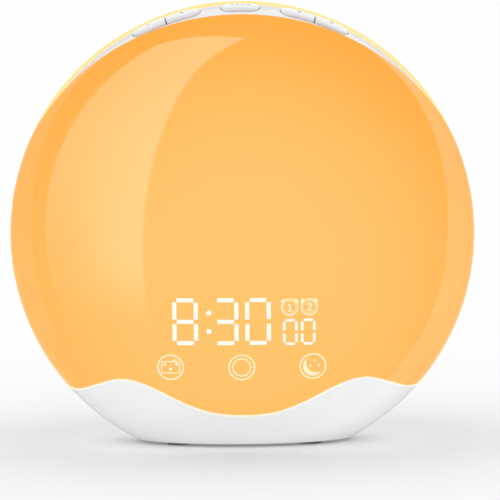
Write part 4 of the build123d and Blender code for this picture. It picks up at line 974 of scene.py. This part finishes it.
def screws():
    """Panel, battery door and base screws, with their heads where the CAD screws have them."""
    tree = screw_tree()
    sizes = {"Head": SCREW_HEAD, "Thick": SCREW_HEAD_THICK, "Shank": SCREW_SHANK, "Bevel": SCREW_BEVEL}
    for name, replaced, body, turn, places, long, seed in SCREWS:
        mesh = plain_mesh(name, [tuple(value * MM for value in place) for place in places])
        values = {"Turn": turn, "Long": long * MM, "Seed": seed, "Finish": FINISHES["zinc_steel"]}
        piece = made_by(tree, name, mesh, **values, **sizes)
        outward(piece)
        settle(piece, body, "zinc_steel", replaced)


def grille_tree():
    """Raised rims round holes that lie in rings of six, twelve and eighteen on the ball's skin."""
    tree, given, maths = new_tree(
        "grille_rims", Blank=GEOMETRY, **SKIN_SIZES, Middle=LENGTH, Pitch=LENGTH, Hole=LENGTH,
        Bead=LENGTH, Finish=MATERIAL,
    )
    rings = tree.nodes.new("GeometryNodeJoinGeometry")
    middle = grow(tree, "GeometryNodeMeshLine", {"Count": 1}).outputs[0]
    tree.links.new(middle, rings.inputs[0])
    for number in (1, 2, 3):
        feeds = {"Vertices": 6 * number, "Radius": maths("MULTIPLY", given["Pitch"], float(number))}
        circle = grow(tree, "GeometryNodeMeshCircle", feeds).outputs[0]
        tree.links.new(circle, rings.inputs[0])
    x, up, _ = split(tree, here_in(tree))
    up = maths("ADD", up, given["Middle"])
    height = maths("SUBTRACT", up, given["Centre"])
    out = maths("MULTIPLY_ADD", height, height, maths("MULTIPLY", x, x))
    radius_squared = maths("MULTIPLY", given["Radius"], given["Radius"])
    left = maths("SUBTRACT", 1.0, maths("DIVIDE", out, radius_squared))
    deep = maths("MULTIPLY", maths("SQRT", left), given["Deep"])
    rise = maths("DIVIDE", maths("MULTIPLY", given["Deep"], given["Deep"]), radius_squared)
    slope = tree.nodes.new("GeometryNodeCaptureAttribute")
    slope.capture_items.new("VECTOR", "slope")
    slope.domain = "POINT"
    tree.links.new(rings.outputs[0], slope.inputs["Geometry"])
    steep = joined(tree, maths("MULTIPLY", x, rise), deep, maths("MULTIPLY", height, rise))
    tree.links.new(steep, slope.inputs["slope"])
    places = moved(tree, slope.outputs["Geometry"], joined(tree, x, deep, up))
    feeds = {"Vector": slope.outputs["slope"]}
    facing = grow(tree, "FunctionNodeAlignRotationToVector", feeds, axis="Z").outputs[0]
    hoop, bead = [
        grow(tree, "GeometryNodeCurvePrimitiveCircle", {"Resolution": count, "Radius": radius}).outputs[0]
        for count, radius in ((28, given["Hole"]), (8, given["Bead"]))
    ]
    rim = grow(tree, "GeometryNodeCurveToMesh", {"Curve": hoop, "Profile Curve": bead}).outputs[0]
    rims = set_out(tree, places, smoothed(tree, rim), facing)
    return end_tree(tree, rims, given["Finish"])


screws()
grille_rims = made_by(
    grille_tree(), "grille_rims", Middle=GRILLE_MIDDLE, Pitch=GRILLE_PITCH,
    Hole=GRILLE_HOLE + GRILLE_RIM_OUT, Bead=GRILLE_RIM, Finish=BACK_WHITE, **SKIN,
)
outward(grille_rims)
settle(grille_rims, "clock_body", "white_shell")


# ------------------------------------------------------------------ stage
FLOOR_GREYS = ((0.87, 0.87, 0.87, 1), (0.88, 0.88, 0.88, 1))

# sides of the strip light: it fills what lies along all three
STRIP_INNER = (-0.8755, 0.4833, 0.05)
STRIP_OUTER = (0.156, -0.988, 0.12)
STRIP_TOP = (-0.427, -0.890, -0.163)
STRIP_LIGHT = 2.4
BEND_FROM = 0.78
BEND = 1.6
WALL_MIDDLE = radians(3.2)
WALL_CURVE = -1.2
ROOM_IN_GLOSS = 0.3
DOME = 0.88
DOME_TOP = 0.35
DOME_FRONT = 0.16


def floor():
    """Wide pale floor, seen by the eye but not in the gloss of the clock."""
    build = bmesh.new()
    bmesh.ops.create_circle(build, cap_ends=True, radius=FLOOR_RADIUS, segments=96)
    mesh = bpy.data.meshes.new("floor")
    build.to_mesh(mesh)
    build.free()
    finish, tree, shader, where = finish_named("pale_floor", Roughness=0.9, Specular_IOR_Level=0.0)
    uneven = grain(tree, where, scale=3.0, detail=3.0)
    wire(tree, blend(tree, uneven, *FLOOR_GREYS), shader.inputs["Base Color"])
    mesh.materials.append(finish)
    ground = in_scene("floor", mesh)
    ground.visible_glossy = False


def studio():
    """White room: even light from all round, a tall strip light on the left and a white wall behind
    in the gloss."""
    world = bpy.data.worlds.new("studio")
    scene.world = world
    world.use_nodes = True
    tree = world.node_tree
    maths = partial(sums, tree)
    background = tree.nodes["Background"]
    way = add(tree, "ShaderNodeTexCoord").outputs["Generated"]
    x, y, z = split(tree, way)
    climb = maths("ARCSINE", z)

    def by_climb(low, high, to_low=0.0, to_high=1.0):
        """Smooth step between two heights, in degrees above the horizon."""
        return eased(tree, climb, radians(low), radians(high), to_low, to_high)

    def product(*shares):
        """All shares of a light taken together, in order."""
        result = shares[0]
        for share in shares[1:]:
            result = maths("MULTIPLY", result, share)
        return result

    from_inner = dotted(tree, way, STRIP_INNER)
    overhead = maths("MAXIMUM", maths("SUBTRACT", z, BEND_FROM), 0.0)
    bent = maths("MULTIPLY_ADD", maths("MULTIPLY", overhead, overhead), BEND, from_inner)
    past_inner = eased(tree, bent, -0.012, 0.012)
    before_outer = eased(tree, dotted(tree, way, STRIP_OUTER), -0.02, 0.02)
    under_top = eased(tree, dotted(tree, way, STRIP_TOP), -0.01, 0.01)
    above_foot = by_climb(-31, -6)
    far_side = by_climb(-12, 20, 0.3, 0.7)
    reach = by_climb(-10, 25, 0.6, 0.85)
    across_strip = eased(tree, from_inner, 0.0, reach, 1.12, far_side)
    brighter_high = by_climb(10, 35, 1.0, 1.16)
    strip = product(past_inner, before_outer, above_foot, under_top, across_strip, brighter_high)

    turn = maths("ARCTAN2", maths("MULTIPLY", x, -1.0), maths("MULTIPLY", y, -1.0))
    aside = maths("ABSOLUTE", maths("SUBTRACT", turn, WALL_MIDDLE))
    raised = maths("MAXIMUM", maths("ADD", climb, radians(6.5)), 0.0)
    beyond = maths("MULTIPLY_ADD", maths("MULTIPLY", raised, raised), WALL_CURVE, aside)
    past_corner = eased(tree, beyond, radians(91.7), radians(93.7))
    fade = eased(tree, beyond, radians(95.0), radians(150.0), 1.0, 0.12)
    brighter_right = eased(tree, x, -0.5, 0.5, 0.42, 1.14)
    lower_right = eased(tree, x, -0.3, 0.3, 0.0, 0.7)
    wall = product(past_corner, fade, brighter_right, by_climb(-38, -22, lower_right, 1.0))

    gloss = maths("ADD", wall, maths("MULTIPLY_ADD", strip, STRIP_LIGHT, ROOM_IN_GLOSS))
    dome = maths("MULTIPLY_ADD", maths("MAXIMUM", z, 0.0), DOME_TOP, DOME)
    from_front = eased(tree, maths("MULTIPLY", y, -1.0), 0.2, 1.0, 0.0, DOME_FRONT)
    dome = maths("ADD", dome, from_front)
    rays = add(tree, "ShaderNodeLightPath").outputs
    level = add(tree, "ShaderNodeMix", rays["Is Glossy Ray"], None, dome, gloss).outputs[0]
    seen = add(tree, "ShaderNodeMix", rays["Is Camera Ray"], None, level, 1.0).outputs[0]
    tree.links.new(seen, background.inputs["Strength"])
    background.inputs["Color"].default_value = WHITE


def camera():
    """Long lens, a little above the clock."""
    lens = bpy.data.cameras.new("camera")
    lens.sensor_width = SENSOR_WIDTH
    lens.lens = SENSOR_WIDTH * CAMERA_DISTANCE / FRAME_WIDTH
    lens.clip_start, lens.clip_end = 0.05, 60.0
    eye = in_scene("camera", lens)
    away = Vector((0, -cos(CAMERA_HEIGHT_ANGLE), sin(CAMERA_HEIGHT_ANGLE)))
    up = Vector((0, sin(CAMERA_HEIGHT_ANGLE), cos(CAMERA_HEIGHT_ANGLE)))
    right = Vector((1, 0, 0))
    aim = Vector((0, 0, CENTRE_Z)) + right * CAMERA_ASIDE - up * CAMERA_BELOW
    turned = Matrix((right, up, away)).transposed() @ Matrix.Rotation(-CAMERA_ROLL, 3, "Z")
    eye.matrix_world = Matrix.Translation(aim + away * CAMERA_DISTANCE) @ turned.to_4x4()
    scene.camera = eye


# the glow of the shells lights the key panel and the keys, and nothing else
lit_by_glow = bpy.data.collections.new("lit_by_glow")
for name, node in nodes.items():
    if name.startswith("button_"):
        lit_by_glow.objects.link(node)
for shell in (front_shell, nodes["rear_diffuser"]):
    shell.light_linking.receiver_collection = lit_by_glow

floor()
studio()
camera()
scene.view_settings.view_transform = "Standard"
scene.view_settings.look = "None"
